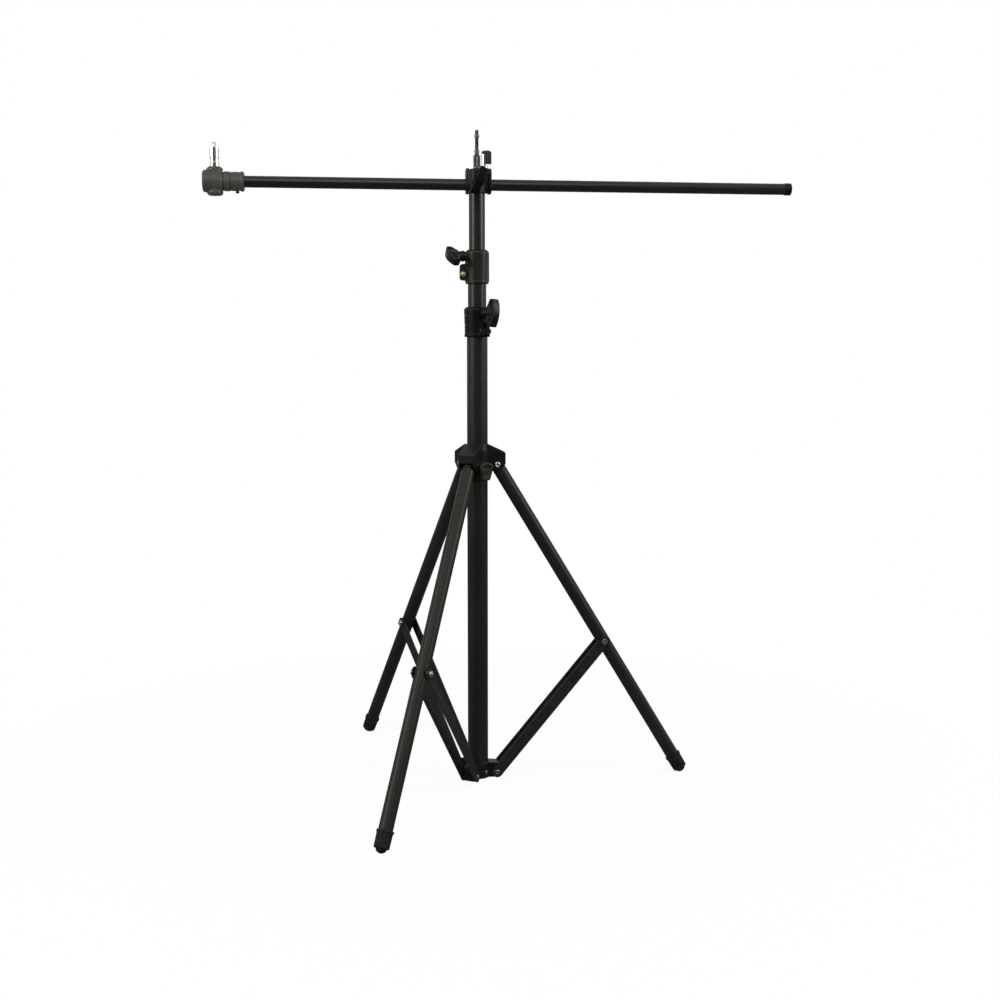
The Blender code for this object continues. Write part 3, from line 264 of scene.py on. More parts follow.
LIE_ALONG_X = turn(90, "Y")
LIE_ALONG_Y = turn(-90, "X")
STAND_SIDE_ON = turn(90, "X")
STAND_END_ON = turn(90) @ turn(90, "X")
IN_PLACE = Matrix.Identity(4)


def pick(piece):
    """Select one piece alone."""
    bpy.ops.object.select_all(action="DESELECT")
    piece.select_set(True)
    bpy.context.view_layer.objects.active = piece
    return piece


def moved(piece, matrix):
    """Put a piece in place, with the place in its mesh."""
    pick(piece)
    piece.matrix_world = matrix
    bpy.ops.object.transform_apply(location=True, rotation=True, scale=True)
    return piece


def apply_modifier(piece, kind, **settings):
    """Add a modifier to a piece and apply it."""
    pick(piece)
    modifier = piece.modifiers.new(kind.lower(), kind)
    for key, value in settings.items():
        setattr(modifier, key, value)
    bpy.ops.object.modifier_apply(modifier=modifier.name)
    return piece


def turned(name, profile, segments=ROUND, closed=False):
    """Turn (radius, height) points about Z: a ring is extruded and scaled from point to point."""
    radius, height = profile[0]
    bpy.ops.object.select_all(action="DESELECT")
    bpy.ops.mesh.primitive_circle_add(vertices=segments, radius=radius, location=(0, 0, height))
    piece = bpy.context.object
    piece.name = name
    bpy.ops.object.transform_apply(location=True, rotation=True, scale=True)
    bpy.ops.object.mode_set(mode="EDIT")
    bpy.ops.mesh.select_all(action="SELECT")
    stops = profile[1:] + profile[:1] if closed else profile[1:]
    for next_radius, next_height in stops:
        rise = next_height - height
        bpy.ops.mesh.extrude_region_move(TRANSFORM_OT_translate={"value": (0, 0, rise)})
        scale = next_radius / radius
        bpy.ops.transform.resize(value=(scale, scale, 1), center_override=(0, 0, next_height))
        radius, height = next_radius, next_height
    bpy.ops.mesh.select_all(action="SELECT")
    bpy.ops.mesh.remove_doubles(threshold=0.000002)
    bpy.ops.mesh.fill_holes(sides=0)
    bpy.ops.mesh.normals_make_consistent(inside=False)
    bpy.ops.object.mode_set(mode="OBJECT")
    return piece


def rod(name, radius, low, high, segments=ROUND):
    """A plain round bar along Z."""
    return turned(name, [(radius, low), (radius, high)], segments)


def drill(radius, low, high):
    """Cutter for a round hole along Z, with a gap round what goes in it."""
    return rod("hole", radius + SEAT_GAP, low, high, SMALL_ROUND)


def hex_key(radius, low, high):
    """A six-sided bar along Z, which cuts a hexagon socket or trims a nut."""
    return rod("hex_key", radius, low, high, 6)


def added(name, data):
    """Add an object to the scene."""
    thing = bpy.data.objects.new(name, data)
    bpy.context.scene.collection.objects.link(thing)
    return thing


def flat(name, outline, thickness, holes=()):
    """A flat piece with the given outline and round holes, centred on its XY plane."""
    curve = bpy.data.curves.new(name, "CURVE")
    curve.dimensions = "2D"
    curve.fill_mode = "BOTH"
    curve.extrude = thickness / 2
    loops = [outline] + [arc(x, y, radius, 0, 351, 39) for x, y, radius in holes]
    for loop in loops:
        spline = curve.splines.new("POLY")
        spline.points.add(len(loop) - 1)
        spline.use_cyclic_u = True
        for point, (x, y) in zip(spline.points, loop):
            point.co = (x, y, 0, 1)
    pick(added(name, curve))
    bpy.ops.object.convert(target="MESH")
    piece = bpy.context.object
    bpy.ops.object.mode_set(mode="EDIT")
    bpy.ops.mesh.select_all(action="SELECT")
    bpy.ops.mesh.remove_doubles(threshold=0.000005)
    bpy.ops.mesh.dissolve_limited(angle_limit=radians(0.5))
    bpy.ops.mesh.select_all(action="SELECT")
    bpy.ops.mesh.normals_make_consistent(inside=False)
    bpy.ops.object.mode_set(mode="OBJECT")
    return piece


def arc(x, y, radius, start, end, count):
    """Points on an arc, with angles in degrees."""
    step = (end - start) / count
    return [(x + radius * cos(radians(start + i * step)),
             y + radius * sin(radians(start + i * step))) for i in range(count + 1)]


def oval(x, y, half_wide, half_high):
    """Points round an ellipse."""
    return [(x + half_wide * cos(2 * pi * i / 32), y + half_high * sin(2 * pi * i / 32))
            for i in range(32)]


def round_box(x0, x1, y0, y1, radius, count=8):
    """A rectangle with round corners."""
    corners = ((x1 - radius, y0 + radius, -90), (x1 - radius, y1 - radius, 0),
               (x0 + radius, y1 - radius, 90), (x0 + radius, y0 + radius, 180))
    return [point for x, y, start in corners
            for point in arc(x, y, radius, start, start + 90, count)]


def dome(radius, base, height, count=6):
    """Profile of a low dome over a disc, from its rim up to its top."""
    return [(max(radius * cos(pi / 2 * i / count), AXIS), base + height * sin(pi / 2 * i / count))
            for i in range(count + 1)]


def one_per_leg(make, place):
    """The same cutter or block for each leg, turned to its side."""
    return [moved(make(), turn(azimuth) @ place) for azimuth in LEG_AZIMUTH.values()]


def combine(target, tools, operation):
    """Join tools to a piece or cut them away, and remove them."""
    for tool in tools:
        apply_modifier(target, "BOOLEAN", operation=operation, solver="EXACT", object=tool)
        bpy.data.objects.remove(tool, do_unlink=True)
    if not target.data.polygons:
        raise RuntimeError(target.name + " has no faces")
    return target


def unite(target, *tools):
    """Join solids to a piece."""
    return combine(target, tools, "UNION")


def carve(target, *tools):
    """Cut solids out of a piece."""
    return combine(target, tools, "DIFFERENCE")


def soften(piece, width, segments=2):
    """Round the sharp edges of a piece."""
    return apply_modifier(piece, "BEVEL", width=width, segments=segments, limit_method="ANGLE",
                          angle_limit=radians(32), use_clamp_overlap=True)


def moulded(piece, voxel=VOXEL, rounds=5, keep=0.3):
    """Give a piece the soft corners and fillets of a casting: one skin, smoothed, then thinned."""
    apply_modifier(piece, "REMESH", mode="VOXEL", voxel_size=voxel)
    apply_modifier(piece, "SMOOTH", factor=0.5, iterations=rounds)
    apply_modifier(piece, "DECIMATE", ratio=keep)
    return piece


def seat(piece, place, body, finish, slot, *nodes):
    """Finish a piece: note its own coordinates for its grain, put it in place and let it ride."""
    pick(piece)
    bpy.ops.object.shade_smooth_by_angle(angle=radians(38), keep_sharp_edges=True)
    apply_modifier(piece, "WEIGHTED_NORMAL", keep_sharp=True, weight=60)
    grain = piece.data.attributes.new("grain", "FLOAT_VECTOR", "POINT")
    grain.data.foreach_set("vector", [value for v in piece.data.vertices for value in v.co])
    piece.data.materials.clear()
    piece.data.materials.append(finish)
    moved(piece, place)
    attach(piece, body)
    if nodes:
        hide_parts(*nodes)
    return piece


def pressed(piece, low, high, radius, depth, wave):
    """Press a pattern into a round piece, between two heights and beyond a radius."""
    for vertex in piece.data.vertices:
        x, y, z = vertex.co
        reach = math.hypot(x, y)
        if low < z < high and reach > radius:
            scale = (reach - depth * wave(atan2(y, x), z)) / reach
            vertex.co = (x * scale, y * scale, z)


def thread(piece, low, high):
    """Cut a screw thread into the stretch of a stud between two heights."""
    pressed(piece, low, high, STUD_RADIUS - 0.0001, THREAD_DEPTH,
            lambda angle, z: abs(2 * ((z / THREAD_PITCH - angle / (2 * pi)) % 1) - 1))


def flute(piece, low, high, radius, count, depth, sharp):
    """Press grooves along the stretch of a round piece between two heights."""
    pressed(piece, low, high, radius, depth,
            lambda angle, z: (0.5 + 0.5 * cos(count * angle)) ** sharp)


def stretch_of(radius, low, high, step):
    """Even rings of one radius between two heights."""
    count = max(2, round((high - low) / step))
    return [(radius, low + (high - low) * i / count) for i in range(count + 1)]


def put(tree, target, value):
    """Link a socket to a node's input, or set the input to a plain value."""
    if isinstance(value, bpy.types.NodeSocket):
        tree.links.new(value, target)
    else:
        target.default_value = value


def set_inputs(tree, node, **values):
    """Link or set a node's inputs, named with an underscore for each space."""
    for label, value in values.items():
        put(tree, node.inputs[label.replace("_", " ")], value)


def add_node(tree, kind, *inputs, **words):
    """Add a node. Words in small letters set its options, and the others its named inputs."""
    node = tree.nodes.new("ShaderNode" + kind)
    for key in [key for key in words if key.islower()]:
        setattr(node, key, words.pop(key))
    set_inputs(tree, node, **words)
    for target, value in zip(node.inputs, inputs):
        put(tree, target, value)
    return node


def maths(tree, operation, first, second):
    """One step of arithmetic on two values."""
    return add_node(tree, "Math", first, second, operation=operation).outputs[0]


def noise(tree, vector, scale, detail, roughness):
    """Noise at a place."""
    return add_node(tree, "TexNoise", Vector=vector, Scale=scale, Detail=detail,
                    Roughness=roughness).outputs["Fac"]


def ramp(tree, value, low, high, start=0.0, end=1.0, shape="LINEAR"):
    """Carry a value from one range to another."""
    return add_node(tree, "MapRange", interpolation_type=shape, Value=value, From_Min=low,
                    From_Max=high, To_Min=start, To_Max=end).outputs["Result"]


def stretched(tree, vector, along):
    """Coordinates with their Z scaled, so that a pattern runs long or short along a piece."""
    scale = add_node(tree, "CombineXYZ", 1.0, 1.0, along).outputs[0]
    return add_node(tree, "VectorMath", vector, scale, operation="MULTIPLY").outputs[0]


def new_group(name, *inputs):
    """A node group with a vector and some numbers in, and one number out."""
    group = bpy.data.node_groups.new(name, "ShaderNodeTree")
    group.interface.new_socket(name="Vector", in_out="INPUT", socket_type="NodeSocketVector")
    for label in inputs:
        group.interface.new_socket(name=label, in_out="INPUT", socket_type="NodeSocketFloat")
    group.interface.new_socket(name="Value", in_out="OUTPUT", socket_type="NodeSocketFloat")
    start = group.nodes.new("NodeGroupInput").outputs
    return group, start, group.nodes.new("NodeGroupOutput").inputs[0]


def noise_group(name, detail, roughness, pulled):
    """Noise with a chosen stretch along the piece, which may be pulled to its ends."""
    tree, start, end = new_group(name, "Scale", "Along")
    vector = stretched(tree, start["Vector"], start["Along"])
    value = noise(tree, vector, start["Scale"], detail, roughness)
    if pulled:
        value = ramp(tree, value, 0.34, 0.66, shape="SMOOTHSTEP")
    put(tree, end, value)
    return tree


def wear_and_edge_highlight_group():
    """Where corners are rubbed, and where edges get a painted highlight: the sharpest edges, broken
    up by noise.
    """
    tree, start, end = new_group("edge_wear", "Amount")
    edges = ramp(tree, add_node(tree, "NewGeometry").outputs["Pointiness"], 0.53, 0.62)
    broken = ramp(tree, noise(tree, start["Vector"], 420.0, 5.0, 0.7), 0.42, 0.62)
    mask = maths(tree, "MULTIPLY", edges, broken)
    put(tree, end, maths(tree, "MULTIPLY", mask, start["Amount"]))
    return tree


def dust_group():
    """Fine dust: specks that lie mostly on what faces up."""
    tree, start, end = new_group("settled_dust", "Amount")
    split = add_node(tree, "SeparateXYZ", add_node(tree, "TexCoord").outputs["Normal"])
    upward = ramp(tree, split.outputs["Z"], -0.2, 0.9, 0.15, shape="SMOOTHSTEP")
    specks = ramp(tree, noise(tree, start["Vector"], 900.0, 6.0, 0.75), 0.50, 0.80)
    mask = maths(tree, "MULTIPLY", upward, specks)
    put(tree, end, maths(tree, "MULTIPLY", mask, start["Amount"]))
    return tree


def scratch_group():
    """Sparse hairline scratches in two directions."""
    tree, start, end = new_group("hairlines", "Scale")
    lines = []
    for tilt, along in ((0.35, 0.04), (-0.8, 0.07)):
        turned_to = add_node(tree, "Mapping", Vector=start["Vector"],
                             Rotation=(tilt, tilt * 0.7, tilt))
        vector = stretched(tree, turned_to.outputs[0], along)
        level = maths(tree, "SUBTRACT", noise(tree, vector, start["Scale"], 3.0, 0.55), 0.5)
        ridge = maths(tree, "ABSOLUTE", level, 0.0)
        lines.append(ramp(tree, ridge, 0.0, 0.006, 1.0, 0.0))
    put(tree, end, maths(tree, "MAXIMUM", *lines))
    return tree


# Node groups that several finishes share
GRAIN = noise_group("surface_grain", 4.0, 0.62, False)
CLOUD = noise_group("slow_change", 2.0, 0.5, True)
WEAR_AND_HIGHLIGHT = wear_and_edge_highlight_group()
DUST = dust_group()
HAIRLINES = scratch_group()


def use_group(tree, group, vector, **values):
    """Place a shared group in a finish."""
    return add_node(tree, "Group", node_tree=group, Vector=vector, **values).outputs[0]


def blend_colours(tree, mask, first, second):
    """Mix two colours by a mask."""
    node = add_node(tree, "Mix", mask, data_type="RGBA")
    for target, value in zip(node.inputs[6:8], (first, second)):
        put(tree, target, (*value, 1.0) if isinstance(value, tuple) else value)
    return node.outputs[2]


# Colour of dust, and the tint of the shine on black paint and plastic
DUST_COLOUR = (0.24, 0.235, 0.22)
SHINE_TINT = (0.95, 1.0, 0.86, 1.0)


def make_finish(name, dark, light, rough, metallic=0.0, specular=0.5, grain=(2600.0, 1.0, 0.02),
                cloud=(45.0, 1.0), worn_and_highlit=(0.10, 0.10, 0.095), wear=0.5, dust=0.06, hairlines=0.0,
                on_cad=False):
    """One finish: two shades that drift, lighter edges that are partly rubbed corners and partly
    painted highlight, dust, and a relief that breaks the gloss.

    rough gives the roughness from smooth to dull, grain its scale, stretch and depth in
    millimetres, and cloud the scale and stretch of the drift between the two shades.
    """
    material = bpy.data.materials.new(name)
    material.use_nodes = True
    tree = material.node_tree
    shader = tree.nodes["Principled BSDF"]
    if on_cad:
        vector = add_node(tree, "TexCoord").outputs["Object"]
    else:
        vector = add_node(tree, "Attribute", attribute_name="grain").outputs["Vector"]
    drift = use_group(tree, CLOUD, vector, Scale=cloud[0], Along=cloud[1])
    relief = use_group(tree, GRAIN, vector, Scale=grain[0], Along=grain[1])
    rubbed_and_highlit = use_group(tree, WEAR_AND_HIGHLIGHT, vector, Amount=wear)
    dusty = use_group(tree, DUST, vector, Amount=dust)
    colour = blend_colours(tree, drift, dark, light)
    # Sharp edges are lightened: partly real wear, partly a painted highlight along the edges.
    colour = blend_colours(tree, rubbed_and_highlit, colour, worn_and_highlit)
    colour = blend_colours(tree, dusty, colour, DUST_COLOUR)
    roughness = ramp(tree, relief, 0.3, 0.7, *rough)
    roughness = maths(tree, "ADD", roughness, maths(tree, "MULTIPLY", drift, 0.05))
    roughness = maths(tree, "ADD", roughness, maths(tree, "MULTIPLY", dusty, 0.25))
    height = relief
    if hairlines:
        scratched = use_group(tree, HAIRLINES, vector, Scale=120.0)
        roughness = maths(tree, "ADD", roughness, maths(tree, "MULTIPLY", scratched, hairlines))
        height = maths(tree, "SUBTRACT", relief, maths(tree, "MULTIPLY", scratched, 0.4))
    bump = add_node(tree, "Bump", Height=height, Strength=0.6, Distance=grain[2] / 1000)
    set_inputs(tree, shader, Base_Color=colour, Roughness=roughness, Normal=bump.outputs[0],
               Metallic=metallic, Specular_IOR_Level=specular)
    if not metallic:
        set_inputs(tree, shader, Specular_Tint=SHINE_TINT)
    return material


TUBE_LOOK = {"grain": (1500.0, 0.03, 0.006), "cloud": (30.0, 0.25), "wear": 0.25,
             "hairlines": 0.06}
CAST_LOOK = {"grain": (1500.0, 1.0, 0.014), "cloud": (60.0, 1.0)}
NYLON_LOOK = {"grain": (1800.0, 1.0, 0.012), "cloud": (70.0, 1.0)}
ZINC_LOOK = {"metallic": 1.0, "grain": (1400.0, 1.0, 0.008), "dust": 0.03, "hairlines": 0.10}

ANODISED = make_finish("black_anodised_tube", (0.0033, 0.0036, 0.0028), (0.0052, 0.0056, 0.0044),
                       (0.25, 0.33), specular=0.30, dust=0.012, **TUBE_LOOK)
# The legs' anodising shines less than the columns'. Its colour is also lighter, which is painted
# light: the lighter shade stands in for the light on the legs.
LEG_ANODISED_LIGHTENED = make_finish("black_anodised_leg", (0.0062, 0.0066, 0.0055),
                           (0.0088, 0.0093, 0.0078), (0.32, 0.42), specular=0.15, dust=0.014,
                           **TUBE_LOOK)
CASTING = make_finish("black_casting", (0.0026, 0.0028, 0.0022), (0.0040, 0.0043, 0.0034),
                      (0.36, 0.44), specular=0.16, wear=0.35, dust=0.014, **CAST_LOOK)
DARK_CASTING = make_finish("deep_black_casting", (0.0016, 0.0017, 0.0014),
                           (0.0025, 0.0026, 0.0021), (0.36, 0.44), specular=0.12,
                           worn_and_highlit=(0.05, 0.05, 0.045), wear=0.3, dust=0.010, **CAST_LOOK)
HEAD_CASTING = make_finish("grey_black_casting", (0.033, 0.0345, 0.0295),
                           (0.041, 0.0428, 0.0367), (0.38, 0.46), specular=0.30,
                           grain=(1500.0, 1.0, 0.012), cloud=(60.0, 1.0), wear=0.4, dust=0.014)
NYLON = make_finish("black_nylon", (0.0018, 0.0019, 0.0016), (0.0029, 0.0031, 0.0025),
                    (0.32, 0.42), specular=0.16, worn_and_highlit=(0.04, 0.04, 0.036), wear=0.4, dust=0.010,
                    **NYLON_LOOK)
DARK_NYLON = make_finish("deep_black_nylon", (0.0014, 0.0015, 0.0012), (0.0022, 0.0023, 0.0019),
                         (0.42, 0.52), specular=0.05, worn_and_highlit=(0.03, 0.03, 0.027), wear=0.3,
                         dust=0.006, **NYLON_LOOK)
# The paddle's nylon is a lighter copy of the black nylon. This is painted light: the lighter shade
# stands in for the light on the paddle, and the stronger rubbed edges are partly painted highlights
# along its rims.
PADDLE_NYLON_LIGHTENED = make_finish("grey_black_nylon", (0.0060, 0.0065, 0.0053),
                           (0.0085, 0.0091, 0.0075), (0.26, 0.36), specular=0.45,
                           worn_and_highlit=(0.09, 0.09, 0.082), wear=0.6, dust=0.012, **NYLON_LOOK)
PAINTED_STEEL = make_finish("black_painted_steel", (0.0050, 0.0054, 0.0044),
                            (0.0076, 0.0081, 0.0066), (0.30, 0.42), specular=0.22,
                            grain=(900.0, 1.0, 0.010), cloud=(40.0, 0.6), worn_and_highlit=(0.12, 0.12, 0.11),
                            wear=0.4, dust=0.016, hairlines=0.06)
RUBBER = make_finish("black_rubber", (0.0030, 0.0031, 0.0027), (0.0052, 0.0054, 0.0047),
                     (0.55, 0.72), specular=0.14, grain=(1300.0, 1.0, 0.030),
                     cloud=(90.0, 1.0), worn_and_highlit=(0.03, 0.03, 0.027), wear=0.5, dust=0.02)
ZINC = make_finish("bright_zinc", (0.26, 0.26, 0.24), (0.38, 0.38, 0.35), (0.26, 0.40),
                   cloud=(200.0, 1.0), worn_and_highlit=(0.55, 0.55, 0.52), wear=0.6, **ZINC_LOOK)
DULL_ZINC = make_finish("dull_zinc", (0.10, 0.10, 0.094), (0.17, 0.17, 0.16), (0.30, 0.44),
                        cloud=(200.0, 1.0), worn_and_highlit=(0.34, 0.34, 0.32), wear=0.5, **ZINC_LOOK)
YELLOW_ZINC = make_finish("yellow_zinc", (0.52, 0.47, 0.24), (0.72, 0.67, 0.40), (0.22, 0.38),
                          cloud=(220.0, 1.0), worn_and_highlit=(0.80, 0.77, 0.58), wear=0.6, **ZINC_LOOK)
GREY_STEEL = make_finish("grey_steel", (0.055, 0.055, 0.052), (0.095, 0.095, 0.090), (0.30, 0.44),
                         metallic=1.0, grain=(1600.0, 6.0, 0.006), cloud=(160.0, 1.0),
                         worn_and_highlit=(0.20, 0.20, 0.19), wear=0.4, dust=0.02)
CHROME = make_finish("chrome", (0.66, 0.66, 0.65), (0.76, 0.76, 0.74), (0.10, 0.16),
                     metallic=1.0, grain=(1200.0, 3.0, 0.001), cloud=(90.0, 1.0),
                     worn_and_highlit=(0.80, 0.80, 0.79), wear=0.3, dust=0.01, hairlines=0.04)
HIDDEN_NYLON = make_finish("black_nylon_inside", (0.0018, 0.0019, 0.0016),
                           (0.0029, 0.0031, 0.0025), (0.36, 0.46), specular=0.16, wear=0.3,
                           on_cad=True, **NYLON_LOOK)


def tube(name, outer, wall, low, high):
    """A straight tube with its ends broken."""
    ring = [(outer, low), (outer, high), (outer - wall, high), (outer - wall, low)]
    return soften(turned(name, ring, closed=True), 0.0003)


def dress_columns():
    """The three column tubes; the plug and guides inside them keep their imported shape."""
    bodies = {"lower": "stand", "middle": "middle_section", "upper": "upper_section"}
    for part, body in bodies.items():
        node = part + "_column"
        low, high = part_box(node)
        piece = tube(part + "_column_tube", high.x, COLUMN_WALL, low.z, high.z)
        seat(piece, IN_PLACE, body, ANODISED, "tube", node)
    for node in ("column_plug", "middle_guide", "upper_guide"):
        inside = frame["nodes"][node]
        inside.data.materials.clear()
        inside.data.materials.append(HIDDEN_NYLON)


def dress_collar(part, column, inner, body, ear_azimuth, ear_drop, ear_height, knob_turn, black,
                 metal):
    """One clamp collar with its bush, clamp bolt, nut and T knob."""
    node = part + "_collar"
    low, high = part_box(node)
    bottom = low.z
    top = high.z
    outer = column + COLLAR_WALL
    middle = (bottom + top) / 2
    screw = screw_frame(part + "_knob_turn")
    boss_end = outer + BOSS_REACH
    ears_place = shift(z=bottom + ear_drop) @ turn(ear_azimuth)
    ear_end = outer + EAR_REACH

    shell = turned(node + "_casting", [
        (outer - 0.0010, bottom), (outer, bottom + 0.0012), (outer, bottom + 0.0046),
        (outer - 0.0007, bottom + 0.0052), (outer - 0.0002, middle), (outer + 0.0004, top - 0.0095),
        (outer + 0.0006, top - 0.0030), (outer - 0.0003, top - 0.0008), (outer - 0.0012, top)])
    boss = rod("boss", BOSS_RADIUS, column, boss_end)
    ears = flat("ears", round_box(column - 0.002, ear_end, 0, ear_height, 0.0046), EAR_WIDTH)
    rib = flat("rib", round_box(-0.0012, 0.0012, bottom + 0.004, top - 0.004, 0.0009, 4),
               2 * (outer + 0.0009))
    unite(shell, moved(boss, screw @ LIE_ALONG_X), moved(ears, ears_place @ STAND_SIDE_ON),
          moved(rib, turn(ear_azimuth + 180) @ STAND_END_ON))
    moulded(shell)
    slit = flat("slit", [(0, -ear_drop - 0.002), (ear_end + 0.002, -ear_drop - 0.002),
                         (ear_end + 0.002, ear_height + 0.0015), (0, ear_height + 0.0015)],
                SLIT_WIDTH)
    bolt_place = ears_place @ shift(x=ear_end - EAR_REACH * 0.5, z=ear_height * 0.38)
    bolt_hole = drill(CLAMP_BOLT_RADIUS, -EAR_WIDTH, EAR_WIDTH)
    screw_hole = drill(KNOB_SCREW_RADIUS, 0.002, boss_end + 0.004)
    carve(shell, rod("bore", column + SEAT_GAP, bottom - 0.003, top + 0.003),
          moved(slit, ears_place @ STAND_SIDE_ON), moved(bolt_hole, bolt_place @ LIE_ALONG_Y),
          moved(screw_hole, screw @ LIE_ALONG_X))
    seat(shell, IN_PLACE, body, black, "casting", node)

    bush_top = top + SEAT_GAP
    bush_bore = inner + SLIDE_GAP
    bush = soften(turned(part + "_bush", [
        (bush_bore, bush_top + BUSH_LIP), (bush_bore, top - BUSH_DEPTH), (column, top - BUSH_DEPTH),
        (column, bush_top), (column + 0.0014, bush_top), (column + 0.0014, bush_top + BUSH_LIP)],
        closed=True), 0.00025)
    bush_hole = drill(KNOB_SCREW_RADIUS, 0.002, boss_end)
    carve(bush, moved(bush_hole, screw @ LIE_ALONG_X))
    seat(bush, IN_PLACE, body, NYLON, "plastic", node + "_bush")

    side = EAR_WIDTH / 2 + SEAT_GAP
    nut_end = side + 0.0032
    bolt = turned(part + "_clamp_bolt", [
        (AXIS, nut_end + 0.0010), (CLAMP_BOLT_RADIUS - 0.0004, nut_end + 0.0010),
        (CLAMP_BOLT_RADIUS, nut_end + 0.0006), (CLAMP_BOLT_RADIUS, -side), (0.0042, -side),
        (0.0042, -side - 0.0009), (0.0037, -side - 0.0018), (0.0027, -side - 0.0024),
        (AXIS, -side - 0.0024)], SMALL_ROUND)
    carve(bolt, hex_key(0.0015, -side - 0.0026, -side - 0.0010))
    seat(soften(bolt, 0.00012, 1), bolt_place @ LIE_ALONG_Y, body, metal, "bright_steel",
         node + "_bolt")
    nut = flat(part + "_clamp_nut", arc(0, 0, 0.0046, 30, 330, 5), 0.0032,
               ((0, 0, CLAMP_BOLT_RADIUS + SEAT_GAP),))
    seat(soften(nut, 0.0003), bolt_place @ shift(y=side + 0.0016) @ STAND_SIDE_ON, body,
         metal, "bright_steel", node + "_nut")
    t_knob(part + "_knob", boss_end + SEAT_GAP, column, screw @ turn(knob_turn, "X"), NYLON)


def t_knob(node, start, screw_tip, place, finish, bored=None):
    """T-shaped clamp knob: a hub, a crowned bar with a dished grip on each wing, and its screw."""
    end = start + KNOB_LENGTH
    hub = turned(node + "_grip", [
        (KNOB_HUB_RADIUS - 0.0012, start), (KNOB_HUB_RADIUS, start + 0.0012),
        (KNOB_HUB_RADIUS, start + 0.0045), (KNOB_HUB_RADIUS - 0.0011, start + 0.0055),
        (KNOB_HUB_RADIUS - 0.0008, end - 0.011), (KNOB_HUB_RADIUS, end - 0.004)])
    moved(hub, LIE_ALONG_X)
    bar = flat("bar", wing_outline(end), KNOB_THICKNESS)
    unite(hub, moved(soften(bar, 0.0012), STAND_SIDE_ON))
    dishes = []
    for side in (-1, 1):
        for wing in (-1, 1):
            dish = flat("dish", oval(end - KNOB_WING_DEPTH * 0.5 - KNOB_CROWN * 0.75,
                                     wing * KNOB_SPAN * 0.30, 0.0040, 0.0062), 0.0038)
            dishes.append(moved(dish, shift(y=side * KNOB_THICKNESS / 2) @ STAND_SIDE_ON))
    if bored:
        bore = rod("bore", bored, start - 0.005, start + 0.0121, SMALL_ROUND)
        dishes.append(moved(bore, LIE_ALONG_X))
    carve(hub, *dishes)
    moulded(hub, rounds=6)
    if screw_tip < start:
        shank = rod("shank", KNOB_SCREW_RADIUS, screw_tip, start + 0.003, SMALL_ROUND)
        unite(hub, moved(shank, LIE_ALONG_X))
    return seat(hub, place, node, finish, "plastic", node)


def wing_outline(end):
    """The crowned bar of a T knob, seen from its side: X runs out along the screw."""
    half = KNOB_SPAN / 2
    tip = end - KNOB_CROWN
    back = tip - KNOB_WING_DEPTH
    rise = half - KNOB_CORNER
    radius = (rise ** 2 + KNOB_CROWN ** 2) / (2 * KNOB_CROWN)
    sweep = math.degrees(asin(rise / radius))
    front = arc(end - radius, 0, radius, -sweep, sweep, 24)
    upper = arc(tip - KNOB_CORNER, half - KNOB_CORNER, KNOB_CORNER, 40, 90, 4)
    upper += arc(back + 0.0014, half - 0.0014, 0.0014, 90, 180, 4)
    lower = [(x, -y) for x, y in reversed(upper)]
    inner = [(back - KNOB_TAPER, KNOB_HUB_RADIUS), (back - KNOB_TAPER, -KNOB_HUB_RADIUS)]
    return front + upper + inner + lower


def yoke_outline(reach, drop):
    """One yoke's cheek, seen from its side: X runs out from the column, Y runs up."""
    inside = PIVOT_RADIUS - 0.020
    lobe = arc(PIVOT_RADIUS, 0, YOKE_LOBE, -140, -20, 16)
    return ([(inside, CROWN_ABOVE), (inside, -YOKE_LOBE - 0.002)] + lobe
            + [(reach, 0.001), (reach, drop - 0.0015), (reach - 0.001, drop),
               (PIVOT_RADIUS - HINGE_GAP - LEG_RADIUS - CROWN_WALL, CROWN_ABOVE)])


